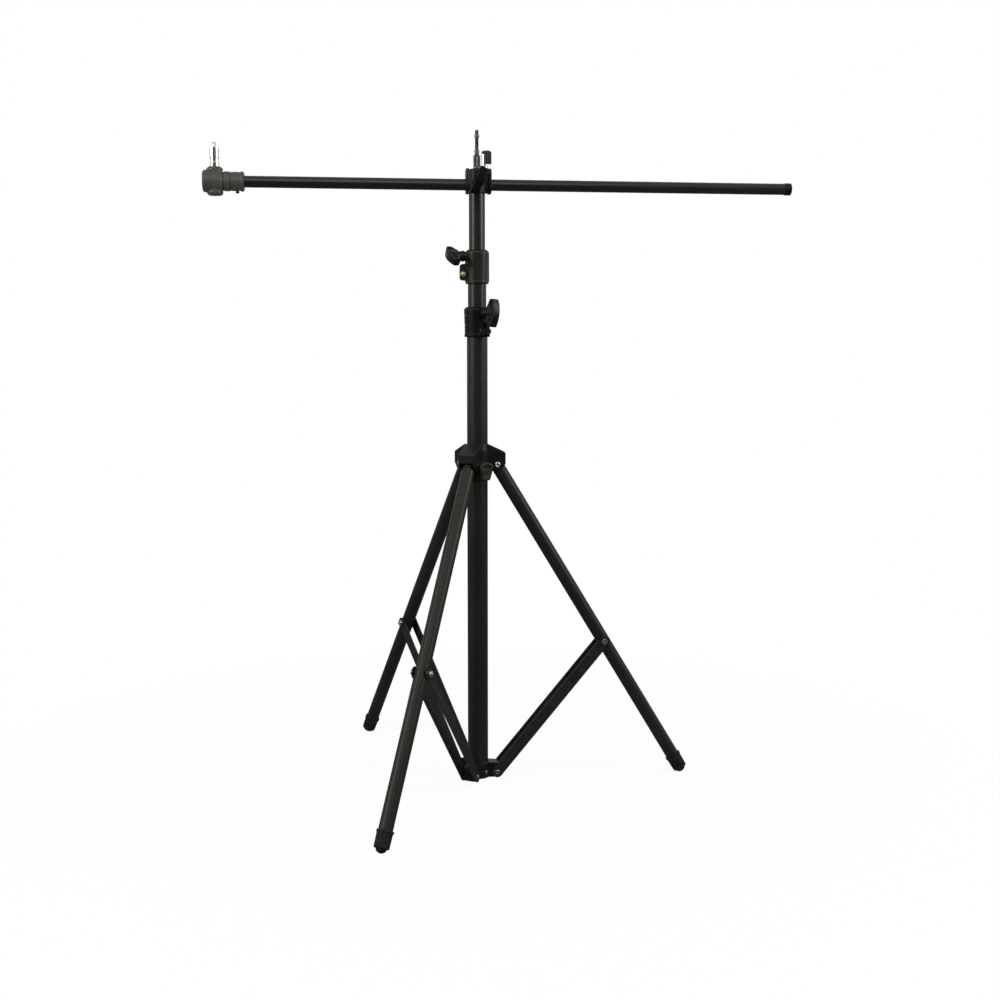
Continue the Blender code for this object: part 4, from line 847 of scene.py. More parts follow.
def dress_crown():
    """Sliding crown: a ring with three yokes, the legs' rivets and the paddle knob."""
    bore = PIVOT_RADIUS - LEG_RADIUS - HINGE_GAP - CROWN_WALL - 0.0001
    web = bore + CROWN_WALL
    ring = web + CROWN_RIB
    reach = PIVOT_RADIUS + YOKE_REACH
    drop = CROWN_ABOVE - CROWN_SHOULDER
    screw = screw_frame("crown_knob_turn")
    boss_end = ring + CROWN_BOSS_REACH
    shell = turned("crown_yokes", [
        (ring - 0.0015, -CROWN_BELOW), (ring, -CROWN_BELOW + 0.0015),
        (ring, CROWN_ABOVE - CROWN_SHOULDER * 0.7), (bore + 0.0016, CROWN_ABOVE)])
    cheeks = yoke_outline(reach, drop)
    unite(shell, *one_per_leg(lambda: soften(flat("yoke", cheeks, 2 * YOKE_OUTER), 0.0012),
                              STAND_SIDE_ON))
    inner_roof = CROWN_ABOVE - YOKE_ROOF
    lip = reach - YOKE_LIP
    lip_roof = inner_roof - CROWN_SHOULDER / (reach - web) * (lip - web)
    pocket = [(web, -CROWN_BELOW - 0.010), (reach + 0.010, -CROWN_BELOW - 0.010),
              (reach + 0.010, YOKE_LIP_BOTTOM), (lip, YOKE_LIP_BOTTOM), (lip, lip_roof),
              (web, inner_roof)]
    carve(shell, *one_per_leg(lambda: flat("pocket", pocket, 2 * STRIP_INNER), STAND_SIDE_ON))
    boss = rod("boss", CROWN_BOSS_RADIUS, bore, boss_end)
    moved(shell, shift(z=CROWN_Z))
    unite(shell, moved(boss, screw @ LIE_ALONG_X))
    moulded(shell, keep=0.35)
    pivot = shift(x=PIVOT_RADIUS, z=CROWN_Z)
    carve(shell,
          rod("crown_bore", bore, CROWN_Z - CROWN_BELOW - 0.003, CROWN_Z + CROWN_ABOVE + 0.003),
          moved(drill(KNOB_SCREW_RADIUS, 0.002, boss_end + 0.004), screw @ LIE_ALONG_X),
          *one_per_leg(lambda: drill(LEG_PIN_RADIUS, -0.025, 0.025), pivot @ LIE_ALONG_Y))
    seat(shell, IN_PLACE, "crown", CASTING, "casting", "crown_casting")
    for key, azimuth in LEG_AZIMUTH.items():
        rivet("leg_rivet_" + key, LEG_PIN_RADIUS, LEG_PIN_HEAD, YOKE_OUTER + SEAT_GAP,
              turn(azimuth) @ pivot, "crown", "leg_pin_" + key,
              PAINTED_STEEL if key == "c" else ZINC)
    paddle_knob(screw, boss_end + SEAT_GAP, bore)


def rivet(name, shank, head, reach, place, body, node, metal):
    """A rivet with a rounded head at one end and a rolled hollow at the other."""
    closed_head = [(shank, reach)] + dome(head, reach, RIVET_DOME)
    rolled = [(shank, -reach), (head, -reach), (head, -reach - 0.0006),
              (head - 0.0008, -reach - RIVET_DOME * 0.85), (head * 0.62, -reach - RIVET_DOME),
              (head * 0.40, -reach - RIVET_DOME * 0.7), (head * 0.33, -reach + 0.0012),
              (AXIS, -reach + 0.0012)]
    piece = turned(name, closed_head[::-1] + rolled, SMALL_ROUND)
    return seat(piece, place @ LIE_ALONG_Y, body, metal, "bright_steel", node)


def paddle_knob(screw, start, screw_tip):
    """Lever knob of the crown: a tapered paddle with an oval dish, hanging from its screw."""
    end = PADDLE_START + PADDLE_DEPTH
    hub_radius = CROWN_BOSS_RADIUS - 0.0010
    hub = turned("crown_paddle", [(hub_radius - 0.0006, start), (hub_radius, PADDLE_START + 0.003)])
    moved(hub, LIE_ALONG_X)
    half = PADDLE_WIDTH / 2
    tip = PADDLE_TIP_WIDTH / 2
    top = [(half * cos(radians(a)), PADDLE_TOP * sin(radians(a))) for a in range(0, 181, 10)]
    outline = top + [(-half * 0.97, -0.0040), (-tip, -PADDLE_DROP + 0.0028)]
    outline += arc(-tip + 0.0026, -PADDLE_DROP + 0.0026, 0.0026, 200, 270, 5)
    outline += arc(tip - 0.0026, -PADDLE_DROP + 0.0026, 0.0026, 270, 340, 5)
    outline += [(tip, -PADDLE_DROP + 0.0028), (half * 0.97, -0.0040)]
    lever = flat("lever", outline, PADDLE_DEPTH)
    soften(lever, 0.0012, 3)
    unite(hub, moved(lever, shift(x=PADDLE_START + PADDLE_DEPTH / 2) @ STAND_END_ON))
    dish = flat("dish", oval(0, -0.0004, half * 0.74, PADDLE_TOP * 0.58), 2 * PADDLE_DISH)
    cuts = [moved(dish, shift(x=end) @ STAND_END_ON)]
    for step in range(3):
        groove = flat("groove", round_box(-tip * 0.8, tip * 0.8, -0.0186 + step * 0.0026,
                                          -0.0176 + step * 0.0026, 0.0004, 3), 0.0012)
        cuts.append(moved(groove, shift(x=end) @ STAND_END_ON))
    carve(hub, *cuts)
    moulded(hub, voxel=0.00036)
    shank = rod("shank", KNOB_SCREW_RADIUS, screw_tip, start + 0.003, SMALL_ROUND)
    unite(hub, moved(shank, LIE_ALONG_X))
    seat(hub, screw, "crown_knob", PADDLE_NYLON_LIGHTENED, "plastic", "crown_knob")


def dress_leg(key):
    """One leg: its rounded plug, its tube and its rubber foot."""
    body = "leg_" + key
    place = joint_place("leg_fold_" + key) @ turn(LEG_AZIMUTH[key]) @ turn(-LEG_SPREAD, "Y")
    bore = LEG_RADIUS - THIN_WALL
    spigot = bore - SEAT_GAP
    seat_z = -LEG_TUBE_START + SEAT_GAP
    plug = turned("leg_cap_" + key, [
        (spigot, seat_z - LEG_PLUG_DEPTH), (spigot, seat_z), (LEG_RADIUS, seat_z)]
        + dome(LEG_RADIUS, 0, LEG_RADIUS, 10))
    soften(plug, 0.00025)
    hole = drill(LEG_PIN_RADIUS, -0.02, 0.02)
    carve(plug, moved(hole, LIE_ALONG_Y))
    seat(plug, place, body, NYLON, "plastic", "leg_plug_" + key)

    foot_centre = (CROWN_Z - FLOOR_Z - FOOT_TIP_RADIUS) / cos(radians(LEG_SPREAD))
    tip = -foot_centre
    step = tip + FOOT_NUB
    tube_end = step + 0.0055
    seat(tube("leg_tube_" + key + "_skin", LEG_RADIUS, THIN_WALL, tube_end, -LEG_TUBE_START), place,
         body, LEG_ANODISED_LIGHTENED, "tube", "leg_tube_" + key)

    sock = LEG_RADIUS + SEAT_GAP
    outside = sock + FOOT_WALL
    lip = outside + FOOT_LIP
    top = step + FOOT_BODY
    nub = [(FOOT_TIP_RADIUS * share, tip - FOOT_TIP_RADIUS * depth)
           for share, depth in ((0.99, 0.22), (0.96, 0.44), (0.90, 0.57), (0.80, 0.66),
                                (0.52, 0.85), (0.27, 0.94), (0.01, 0.97))]
    profile = [(AXIS, tube_end - SEAT_GAP), (sock, tube_end - SEAT_GAP), (sock, top), (lip, top),
               (lip, top - 0.0030), (outside, top - 0.0040)]
    profile += [(outside - 0.0004 * i / 10, top - 0.0040 - (top - 0.0040 - step - 0.0010) * i / 10)
                for i in range(1, 11)]
    profile += [(outside - 0.0012, step), (FOOT_TIP_RADIUS + 0.0003, step)] + nub
    foot = turned("rubber_foot_" + key, profile, FLUTED_STEPS)
    flute(foot, step + 0.0009, top - 0.0042, sock + 0.0003, 12, 0.00045, 6.0)
    flute(foot, step - 0.0002, step + 0.0040, FOOT_TIP_RADIUS + 0.0010, 8, 0.0012, 6.0)
    flute(foot, tip - FOOT_TIP_RADIUS, step - 0.0004, 0.0020, 4, 0.0012, 10.0)
    soften(foot, 0.0004)
    seat(foot, place, body, RUBBER, "rubber", "leg_foot_" + key)


def dress_brace(key):
    """One pair of brace strips with the bolt and nut at the leg."""
    body = "brace_" + key
    hinge = Vector(JOINTS["brace_fold_" + key]["pos_m"])
    low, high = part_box("brace_bolt_" + key)
    upper = (low + high) / 2
    out = Vector((hinge.x, hinge.y, 0)).normalized()
    rise = upper.z - hinge.z
    run = (upper - hinge).dot(out)
    length = math.hypot(rise, run)
    spread = math.degrees(atan2(run, rise))
    place = shift(*hinge) @ turn(LEG_AZIMUTH[key]) @ turn(spread, "Y")
    half = STRIP_WIDTH / 2
    hole = RIVET_RADIUS + SEAT_GAP
    outline = arc(0, length, half, 0, 180, 24) + arc(0, 0, half, 180, 360, 24)
    for side, y in (("near", -1), ("far", 1)):
        strip = flat("brace_strip_" + side + "_" + key, outline, STRIP_THICKNESS,
                     ((0, 0, hole), (0, length, hole)))
        soften(strip, 0.0005)
        at = shift(y=y * (STRIP_INNER + STRIP_THICKNESS / 2)) @ STAND_SIDE_ON
        seat(strip, place @ at, body, PAINTED_STEEL, "black_steel", "brace_" + side + "_" + key)

    start = STRIP_OUTER + SEAT_GAP
    top = place @ shift(z=length)
    head = turned("brace_screw_" + key, [
        (AXIS, -STRIP_INNER), (RIVET_RADIUS, -STRIP_INNER), (RIVET_RADIUS, -start),
        (BOLT_HEAD, -start), (BOLT_HEAD, -start - 0.0016),
        (BOLT_HEAD - 0.0008, -start - BOLT_HEIGHT), (AXIS, -start - BOLT_HEIGHT)], SMALL_ROUND)
    carve(head, hex_key(0.0029, -start - BOLT_HEIGHT - 0.001, -start - 0.0008))
    seat(soften(head, 0.0003), top @ LIE_ALONG_Y, body, ZINC, "bright_steel",
         "brace_bolt_" + key)
    nut_end = start + NUT_HEIGHT
    nut = turned("brace_locknut_" + key, [
        (AXIS, STRIP_INNER), (RIVET_RADIUS, STRIP_INNER), (RIVET_RADIUS, start),
        (0.0052, start), (0.0052, nut_end - 0.0016), (0.0043, nut_end), (RIVET_RADIUS, nut_end),
        (RIVET_RADIUS - 0.0002, nut_end + 0.0013), (AXIS, nut_end + 0.0013)], SMALL_ROUND)
    combine(nut, [hex_key(0.0064, STRIP_INNER, nut_end + 0.002)], "INTERSECT")
    seat(soften(nut, 0.00025), top @ LIE_ALONG_Y, body, ZINC, "bright_steel",
         "brace_nut_" + key)


def dress_hub():
    """Hub at the column's foot with a lug for each pair of strips, and its rivets."""
    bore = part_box("lower_column")[1].x + SEAT_GAP
    outer = bore + HUB_WALL
    reach = PIVOT_RADIUS + LUG_REACH
    inside = PIVOT_RADIUS - 0.020
    shell = turned("foot_hub", [(outer - 0.0006, 0), (outer, 0.0006), (outer, HUB_HEIGHT - 0.0012),
                                (outer - 0.0012, HUB_HEIGHT)])
    outline = [(inside, 0), (PIVOT_RADIUS, 0)]
    outline += arc(PIVOT_RADIUS, LUG_REACH, LUG_REACH, -60, 0, 8)
    outline += [(reach, LUG_TOP - 0.006), (reach - 0.0045, LUG_TOP - 0.0005),
                (inside + 0.008, LUG_TOP + 0.0012), (inside, LUG_TOP + 0.0012)]
    unite(shell, *one_per_leg(lambda: soften(flat("lug", outline, 2 * LEG_RADIUS), 0.0010),
                              STAND_SIDE_ON))
    moulded(shell, keep=0.35)
    pivot = shift(x=PIVOT_RADIUS, z=HUB_PIVOT_Z)
    carve(shell, rod("hub_bore", bore, -0.003, HUB_HEIGHT + 0.003),
          *one_per_leg(lambda: drill(RIVET_RADIUS, -0.02, 0.02), pivot @ LIE_ALONG_Y))
    seat(shell, IN_PLACE, "stand", CASTING, "casting", "base_hub")
    for key, azimuth in LEG_AZIMUTH.items():
        rivet("hub_rivet_" + key, RIVET_RADIUS, RIVET_HEAD, STRIP_OUTER + SEAT_GAP,
              turn(azimuth) @ pivot, "stand", "hub_pin_" + key, DULL_ZINC)
        fixing = turned("hub_fixing_" + key, [(RIVET_HEAD - 0.0006, outer - 0.0003)]
                        + dome(RIVET_HEAD - 0.0006, outer + 0.0004, RIVET_DOME * 0.8),
                        SMALL_ROUND)
        seat(fixing, shift(z=HUB_RIVET_HEIGHT) @ turn(azimuth + HUB_RIVET_AZIMUTH) @ LIE_ALONG_X,
             "stand", DULL_ZINC, "bright_steel")


def dress_top():
    """Top casting with its spigot, tilt bolt and tilt knob."""
    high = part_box("upper_column")[1]
    plug = high.x - COLUMN_WALL - SLIDE_GAP
    floor = high.z + SEAT_GAP
    axis_z = BOOM_TILT.z - floor
    radius = CASTING_RADIUS
    place = shift(z=floor)
    shell = turned("bracket_casting", [
        (plug, -CASTING_PLUG_DEPTH), (plug, 0), (radius - 0.0006, 0), (radius, 0.0010),
        (radius, CASTING_HEIGHT - 0.0020), (radius - 0.0030, CASTING_HEIGHT)])
    rosette = rod("rosette", ROSETTE_RADIUS, 0, ROSETTE_FACE + 0.002)
    front = soften(rod("front_boss", FRONT_BOSS_RADIUS, -FRONT_BOSS_FACE, 0), 0.0008)
    at = shift(z=axis_z) @ LIE_ALONG_Y
    unite(shell, moved(rosette, at), moved(front, at))
    behind = flat("behind", [(-0.03, -0.003), (0.03, -0.003), (0.03, CASTING_HEIGHT + 0.003),
                             (-0.03, CASTING_HEIGHT + 0.003)], 0.02)
    carve(shell, moved(behind, shift(y=ROSETTE_FACE + 0.01) @ STAND_SIDE_ON))
    moulded(shell)
    bolt_hole = drill(TILT_BOLT_RADIUS, -0.03, 0.03)
    stud_hole = drill(SHANK_RADIUS, CASTING_HEIGHT - SHANK_DEPTH - 0.001, CASTING_HEIGHT + 0.003)
    carve(shell, moved(bolt_hole, at), stud_hole, *rosette_teeth(at, ROSETTE_FACE + 0.0004))
    seat(shell, place, "top_bracket", CASTING, "casting", "top_casting")

    base = CASTING_HEIGHT + SEAT_GAP
    neck = base + SPIGOT_BASE
    collar = neck + SPIGOT_NECK
    stud = collar + SPIGOT_COLLAR
    end = stud + SPIGOT_STUD
    ribbed = stretch_of(SPIGOT_RADIUS, base + 0.0030, neck - 0.0024, 0.0012)
    threaded = stretch_of(STUD_RADIUS, stud + 0.0010, end - 0.0130, 0.00030)
    tip = stretch_of(STUD_RADIUS, end - 0.0064, end - 0.0016, 0.00030)
    profile = [(AXIS, CASTING_HEIGHT - SHANK_DEPTH), (SHANK_RADIUS, CASTING_HEIGHT - SHANK_DEPTH),
               (SHANK_RADIUS, base), (SPIGOT_RADIUS - 0.0004, base),
               (SPIGOT_RADIUS, base + 0.0005), (SPIGOT_RADIUS, base + 0.0022),
               (SPIGOT_RADIUS - 0.0006, base + 0.0024), (SPIGOT_RADIUS - 0.0006, base + 0.0029)]
    profile += ribbed
    profile += [(SPIGOT_RADIUS - 0.0006, neck - 0.0022), (SPIGOT_RADIUS - 0.0006, neck - 0.0018),
                (SPIGOT_RADIUS, neck - 0.0016), (SPIGOT_RADIUS, neck - 0.0008),
                (SPIGOT_RADIUS - 0.0010, neck), (SPIGOT_NECK_RADIUS, neck + 0.0012),
                (SPIGOT_NECK_RADIUS, collar), (SPIGOT_COLLAR_RADIUS, collar),
                (SPIGOT_COLLAR_RADIUS, stud), (STUD_RADIUS, stud)]
    profile += threaded
    profile += [(STUD_RADIUS, end - 0.0120), (STUD_RADIUS + 0.0009, end - 0.0110),
                (STUD_RADIUS + 0.0009, end - 0.0075), (STUD_RADIUS, end - 0.0066)]
    profile += tip
    profile += [(STUD_RADIUS - 0.0008, end), (AXIS, end)]
    spigot = turned("centre_spigot", profile, FLUTED_STEPS)
    flute(spigot, base + 0.0029, neck - 0.0023, SPIGOT_RADIUS - 0.0001, 24, 0.00050, 1.5)
    thread(spigot, stud + 0.0012, end - 0.0131)
    thread(spigot, end - 0.0062, end - 0.0017)
    seat(spigot, place, "top_bracket", GREY_STEEL, "grey_steel", "top_spigot")

    screw = shift(z=BOOM_TILT.z) @ turn(-90)
    knob_start = FRONT_BOSS_FACE + SEAT_GAP
    socket = knob_start + 0.012
    bolt_end = ROSETTE_FACE + SEAT_GAP + HOLDER_ROSETTE + BOOM_WALL_IN_HOLDER - 0.0006
    bolt = soften(rod("tilt_screw", TILT_BOLT_RADIUS, -bolt_end, socket - SEAT_GAP, SMALL_ROUND),
                  0.0004)
    seat(bolt, screw @ LIE_ALONG_X, "top_bracket", ZINC, "bright_steel", "tilt_bolt")
    t_knob("tilt_knob", knob_start, knob_start, screw @ turn(TILT_KNOB_TURN, "X"), DARK_NYLON,
           bored=TILT_BOLT_RADIUS + SEAT_GAP)


def rosette_teeth(place, face):
    """Cutters for the radial teeth of a tilt face, which show at its rim."""
    cutters = []
    for step in range(ROSETTE_TEETH):
        notch = turned("notch", [(0.00042, 0.0075), (0.00042, ROSETTE_RADIUS + 0.002)], 4)
        at = place @ turn(360 * step / ROSETTE_TEETH) @ shift(z=face) @ LIE_ALONG_X
        cutters.append(moved(notch, at))
    first = pick(cutters[0])
    for cutter in cutters:
        cutter.select_set(True)
    bpy.ops.object.join()
    return [first]


def dress_holder():
    """Boom holder behind the casting, with its lock sleeve and lever."""
    tilt = shift(z=BOOM_TILT.z)
    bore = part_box("boom_tube")[1].z - BOOM_TILT.z + SLIDE_GAP
    front = ROSETTE_FACE + SEAT_GAP + HOLDER_ROSETTE
    back = front + HOLDER_DEPTH
    centre = BOOM_TILT.y
    lock_x = JOINTS["boom_lock_turn"]["pos_m"][0]
    half = HOLDER_LENGTH / 2
    along = shift(x=HOLDER_SHIFT)
    waist = flat("boom_clamp", round_box(front + HOLDER_WAIST, back - HOLDER_WAIST,
                                         -HOLDER_BELOW + HOLDER_WAIST, HOLDER_ABOVE - HOLDER_WAIST,
                                         HOLDER_CORNER - HOLDER_WAIST, 10),
                 HOLDER_LENGTH - 0.002)
    moved(waist, along @ STAND_END_ON)
    outline = round_box(front, back, -HOLDER_BELOW, HOLDER_ABOVE, HOLDER_CORNER, 10)
    lips = []
    for x in (-half + HOLDER_LIP / 2, half - HOLDER_LIP / 2):
        lip = soften(flat("lip", outline, HOLDER_LIP), 0.0012)
        lips.append(moved(lip, along @ shift(x=x) @ STAND_END_ON))
    rosette = moved(rod("rosette", ROSETTE_RADIUS, ROSETTE_FACE + SEAT_GAP, front + 0.004),
                    LIE_ALONG_Y)
    lock_seat = HOLDER_ABOVE - HOLDER_WAIST
    boss = moved(rod("lock_boss", LOCK_RADIUS + 0.0012, lock_seat - 0.004, lock_seat + 0.0012),
                 shift(lock_x, centre))
    unite(waist, *lips, rosette, boss)
    moulded(waist)
    boom_bore = moved(rod("boom_bore", bore, -HOLDER_LENGTH, HOLDER_LENGTH),
                      shift(y=centre) @ LIE_ALONG_X)
    bolt_hole = drill(TILT_BOLT_RADIUS, 0, front + BOOM_WALL_IN_HOLDER - 0.0003)
    lock_hole = drill(KNOB_SCREW_RADIUS, 0, HOLDER_ABOVE + 0.01)
    carve(waist, boom_bore, moved(bolt_hole, LIE_ALONG_Y), moved(lock_hole, shift(lock_x, centre)))
    seat(waist, tilt, "boom_holder", CASTING, "casting", "boom_holder")

    lock = tilt @ shift(lock_x, centre) @ turn(LEVER_TURN)
    start = lock_seat + 0.0012 + SEAT_GAP
    top = HOLDER_ABOVE + LOCK_HEIGHT
    pin = 0.0024
    sleeve = turned("lock_barrel", [
        (AXIS, bore + 0.0002), (KNOB_SCREW_RADIUS, bore + 0.0002), (KNOB_SCREW_RADIUS, start),
        (LOCK_RADIUS - 0.0004, start), (LOCK_RADIUS, start + 0.0004),
        (LOCK_RADIUS, start + 0.0030), (LOCK_RADIUS - 0.0005, start + 0.0034),
        (LOCK_RADIUS - 0.0005, start + 0.0040), (LOCK_RADIUS, start + 0.0044),
        (LOCK_RADIUS, top - 0.0008), (LOCK_RADIUS - 0.0008, top), (pin, top), (pin, top + 0.003),
        (AXIS, top + 0.003)])
    seat(soften(sleeve, 0.00015), lock, "boom_lock", CHROME, "chrome", "lock_sleeve")
    lever_bottom = top + SEAT_GAP
    lever = flat("lock_hook", hook_outline(lever_bottom), LEVER_THICKNESS)
    moulded(moved(soften(lever, 0.0010), STAND_SIDE_ON), voxel=0.00034)
    hole = drill(pin, lever_bottom - 0.002, top + 0.0033)
    carve(lever, hole)
    seat(lever, lock, "boom_lock", NYLON, "plastic", "lock_lever")


def hook_outline(bottom):
    """The lock lever from its side: a cap over the sleeve whose arm bends down outside it."""
    top = bottom + LEVER_ARM
    inner = LOCK_RADIUS + 0.0010
    outer = LEVER_REACH
    low = bottom - LEVER_DROP
    return ([(-0.0036, bottom), (inner, bottom), (inner, low + 0.005), (inner + 0.0015, low)]
            + [(outer - 0.0006, low), (outer, low + 0.0020)]
            + arc(outer - 0.0043, top - 0.0043, 0.0043, 0, 90, 10)
            + [(-0.0015, top), (-0.0036, top - 0.0021)])


def dress_boom():
    """Boom tube with the cap at its right end and the head's sleeve at its left end."""
    place = shift(y=BOOM_TILT.y, z=BOOM_TILT.z)
    lengthways = place @ LIE_ALONG_X
    low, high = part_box("boom_tube")
    radius = high.z - BOOM_TILT.z
    seat(tube("boom_arm", radius, THIN_WALL, low.x, high.x), lengthways, "boom", ANODISED, "tube",
         "boom_tube")
    cap_low, cap_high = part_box("boom_end_cap")
    cap_radius = cap_high.z - BOOM_TILT.z
    cap_bore = radius + SEAT_GAP
    floor = high.x + SEAT_GAP
    cap = turned("boom_arm_cap", [
        (AXIS, floor), (cap_bore, floor), (cap_bore, cap_low.x), (cap_radius, cap_low.x),
        (cap_radius, cap_high.x - 0.0012), (cap_radius - 0.0003, cap_high.x - 0.0005),
        (cap_radius - 0.0012, cap_high.x), (AXIS, cap_high.x)])
    seat(soften(cap, 0.00018), lengthways, "boom", NYLON, "plastic", "boom_end_cap")

    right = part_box("head_sleeve")[1].x
    left = right - SLEEVE_LENGTH
    neck = left + SLEEVE_NECK
    lip = SLEEVE_RADIUS + 0.0005
    body = SLEEVE_RADIUS - 0.0003
    mouth = low.x - SEAT_GAP
    sleeve = turned("head_socket", [
        (AXIS, left - HEAD_PIVOT_LENGTH), (HEAD_PIVOT_RADIUS, left - HEAD_PIVOT_LENGTH),
        (HEAD_PIVOT_RADIUS, left), (SLEEVE_RADIUS - 0.0010, left),
        (SLEEVE_RADIUS + 0.0002, left + 0.0015), (SLEEVE_RADIUS + 0.0002, neck - 0.0012),
        (SLEEVE_RADIUS - SLEEVE_GROOVE, neck - 0.0008),
        (SLEEVE_RADIUS - SLEEVE_GROOVE, neck + 0.0008), (body, neck + 0.0012),
        (body, right - SLEEVE_LIP - 0.0030), (body - 0.0004, right - SLEEVE_LIP - 0.0026),
        (body - 0.0004, right - SLEEVE_LIP - 0.0006), (body, right - SLEEVE_LIP),
        (lip, right - SLEEVE_LIP + 0.0008), (lip, right - 0.0020), (lip - 0.0025, right),
        (cap_bore, right), (cap_bore, mouth), (AXIS, mouth)], HEAD_STEPS)
    soften(sleeve, 0.00035)
    screw_x = right - 0.0115
    hole = drill(SLEEVE_SCREW, 0.010, 0.020)
    carve(sleeve, moved(hole, shift(z=screw_x) @ turn(90, "Y")))
    seat(sleeve, lengthways, "boom", HEAD_CASTING, "casting", "head_sleeve")
    screw_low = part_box("head_sleeve_screw")[0].z - BOOM_TILT.z
    screw = turned("head_socket_screw", [
        (AXIS, -cap_bore), (SLEEVE_SCREW, -cap_bore), (SLEEVE_SCREW, -SLEEVE_RADIUS - SEAT_GAP),
        (0.0030, -SLEEVE_RADIUS - SEAT_GAP), (0.0030, screw_low + 0.0008),
        (0.0022, screw_low), (AXIS, screw_low)], SMALL_ROUND)
    carve(screw, hex_key(0.0014, screw_low - 0.001, screw_low + 0.0018))
    seat(soften(screw, 0.00015), place @ shift(x=screw_x), "boom", PAINTED_STEEL, "black_steel",
         "head_sleeve_screw")


def dress_head():
    """Swivelling head with its chrome spigot and the two screws on its face."""
    place = shift(y=BOOM_TILT.y, z=BOOM_TILT.z)
    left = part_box("head_body")[0].x
    right = left + HEAD_LENGTH
    cross_x = left + CROSS_AT
    corner = [(HEAD_RADIUS - HEAD_ROUND + HEAD_ROUND * sin(radians(a)),
               left + HEAD_ROUND * 0.8 * (1 - cos(radians(a)))) for a in range(0, 91, 10)]
    shell = turned("swivel_head", [(AXIS, left)] + corner + [
        (HEAD_RADIUS, right - 0.0045), (SLEEVE_RADIUS + 0.0006, right - 0.0025),
        (SLEEVE_RADIUS - 0.0010, right), (AXIS, right)], HEAD_STEPS)
    moved(shell, LIE_ALONG_X)
    cross = turned("cross", [
        (CROSS_RADIUS - 0.0030, -CROSS_HEIGHT), (CROSS_RADIUS, -CROSS_HEIGHT + 0.0030),
        (CROSS_RADIUS, CROSS_HEIGHT - 0.0030), (CROSS_RADIUS - 0.0030, CROSS_HEIGHT)], HEAD_STEPS)
    unite(shell, moved(cross, shift(x=cross_x)))
    moulded(shell)
    pivot_bore = rod("pivot_bore", HEAD_PIVOT_RADIUS + SEAT_GAP,
                     right - HEAD_PIVOT_LENGTH, right + 0.01)
    spigot_hole = drill(SHANK_RADIUS, CROSS_HEIGHT - SHANK_DEPTH - 0.0005, CROSS_HEIGHT + 0.002)
    seats = [moved(rod("seat", HEAD_SCREW_RADIUS + 0.0005, CROSS_RADIUS - 0.0012,
                       CROSS_RADIUS + 0.004, SMALL_ROUND), at)
             for at in head_screw_places(cross_x)]
    carve(shell, moved(pivot_bore, LIE_ALONG_X), moved(spigot_hole, shift(x=cross_x)), *seats)
    seat(shell, place, "head", HEAD_CASTING, "casting", "head_body")
    for label, at in zip(("upper", "lower"), head_screw_places(cross_x)):
        cross_screw("head_screw_" + label, HEAD_SCREW_RADIUS, CROSS_RADIUS - 0.0011,
                    place @ at, "head")

    base = CROSS_HEIGHT + SEAT_GAP
    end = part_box("head_spigot")[1].z - BOOM_TILT.z
    shoulder = end - HEAD_STUD_LENGTH
    radius = HEAD_SPIGOT_RADIUS
    profile = [(AXIS, CROSS_HEIGHT - SHANK_DEPTH), (SHANK_RADIUS, CROSS_HEIGHT - SHANK_DEPTH),
               (SHANK_RADIUS, base), (radius - 0.0003, base), (radius, base + 0.0003),
               (radius, base + 0.0060), (radius - 0.0012, base + 0.0075),
               (radius - 0.0012, base + 0.0125), (radius, base + 0.0140),
               (radius, shoulder - 0.0010), (radius - 0.0010, shoulder), (STUD_RADIUS, shoulder)]
    profile += stretch_of(STUD_RADIUS, shoulder + 0.0006, end - 0.0012, 0.00030)
    profile += [(STUD_RADIUS - 0.0008, end), (AXIS, end)]
    spigot = turned("chrome_spigot", profile)
    thread(spigot, shoulder + 0.0008, end - 0.0013)
    seat(spigot, place @ shift(x=cross_x), "head", CHROME, "chrome", "head_spigot")


def head_screw_places(cross_x):
    """Frames of the two screws on the head's face: Z points out of the face."""
    return [shift(x=cross_x, z=height) @ turn(HEAD_SCREW_AZIMUTH) @ LIE_ALONG_X
            for height in (HEAD_SCREW_RISE, -HEAD_SCREW_RISE)]


def cross_screw(name, radius, base, place, body):
    """A small pan-head screw with a cross recess."""
    top = base + radius * 0.75
    head = turned(name, [(radius, base), (radius, base + radius * 0.25),
                         (radius * 0.86, top - radius * 0.16), (radius * 0.55, top),
                         (AXIS, top + radius * 0.03)], SMALL_ROUND)
    slots = []
    for angle in (0, 90):
        slot = flat("recess", round_box(-radius * 0.55, radius * 0.55, -radius * 0.13,
                                        radius * 0.13, radius * 0.12, 3), radius)
        slots.append(moved(slot, shift(z=top + radius * 0.15) @ turn(angle + 45)))
    carve(head, *slots)
    return seat(soften(head, 0.00008, 1), place, body, DULL_ZINC, "bright_steel")


def collar_screws():
    """Two small screws on the left of the lower collar."""
    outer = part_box("lower_column")[1].x + COLLAR_WALL
    for label, height in zip(("upper", "lower"), COLLAR_SCREW_HEIGHTS):
        at = shift(z=height) @ turn(COLLAR_SCREW_AZIMUTH) @ LIE_ALONG_X
        cross_screw("collar_screw_" + label, COLLAR_SCREW_RADIUS, outer - 0.0002, at, "stand")


def ray_kinds(tree):
    """Masks of the camera's rays, and of rays that a piece mirrors or bends."""
    path = add_node(tree, "LightPath").outputs
    shine = maths(tree, "MAXIMUM", path["Is Glossy Ray"], path["Is Transmission Ray"])
    return path["Is Camera Ray"], shine


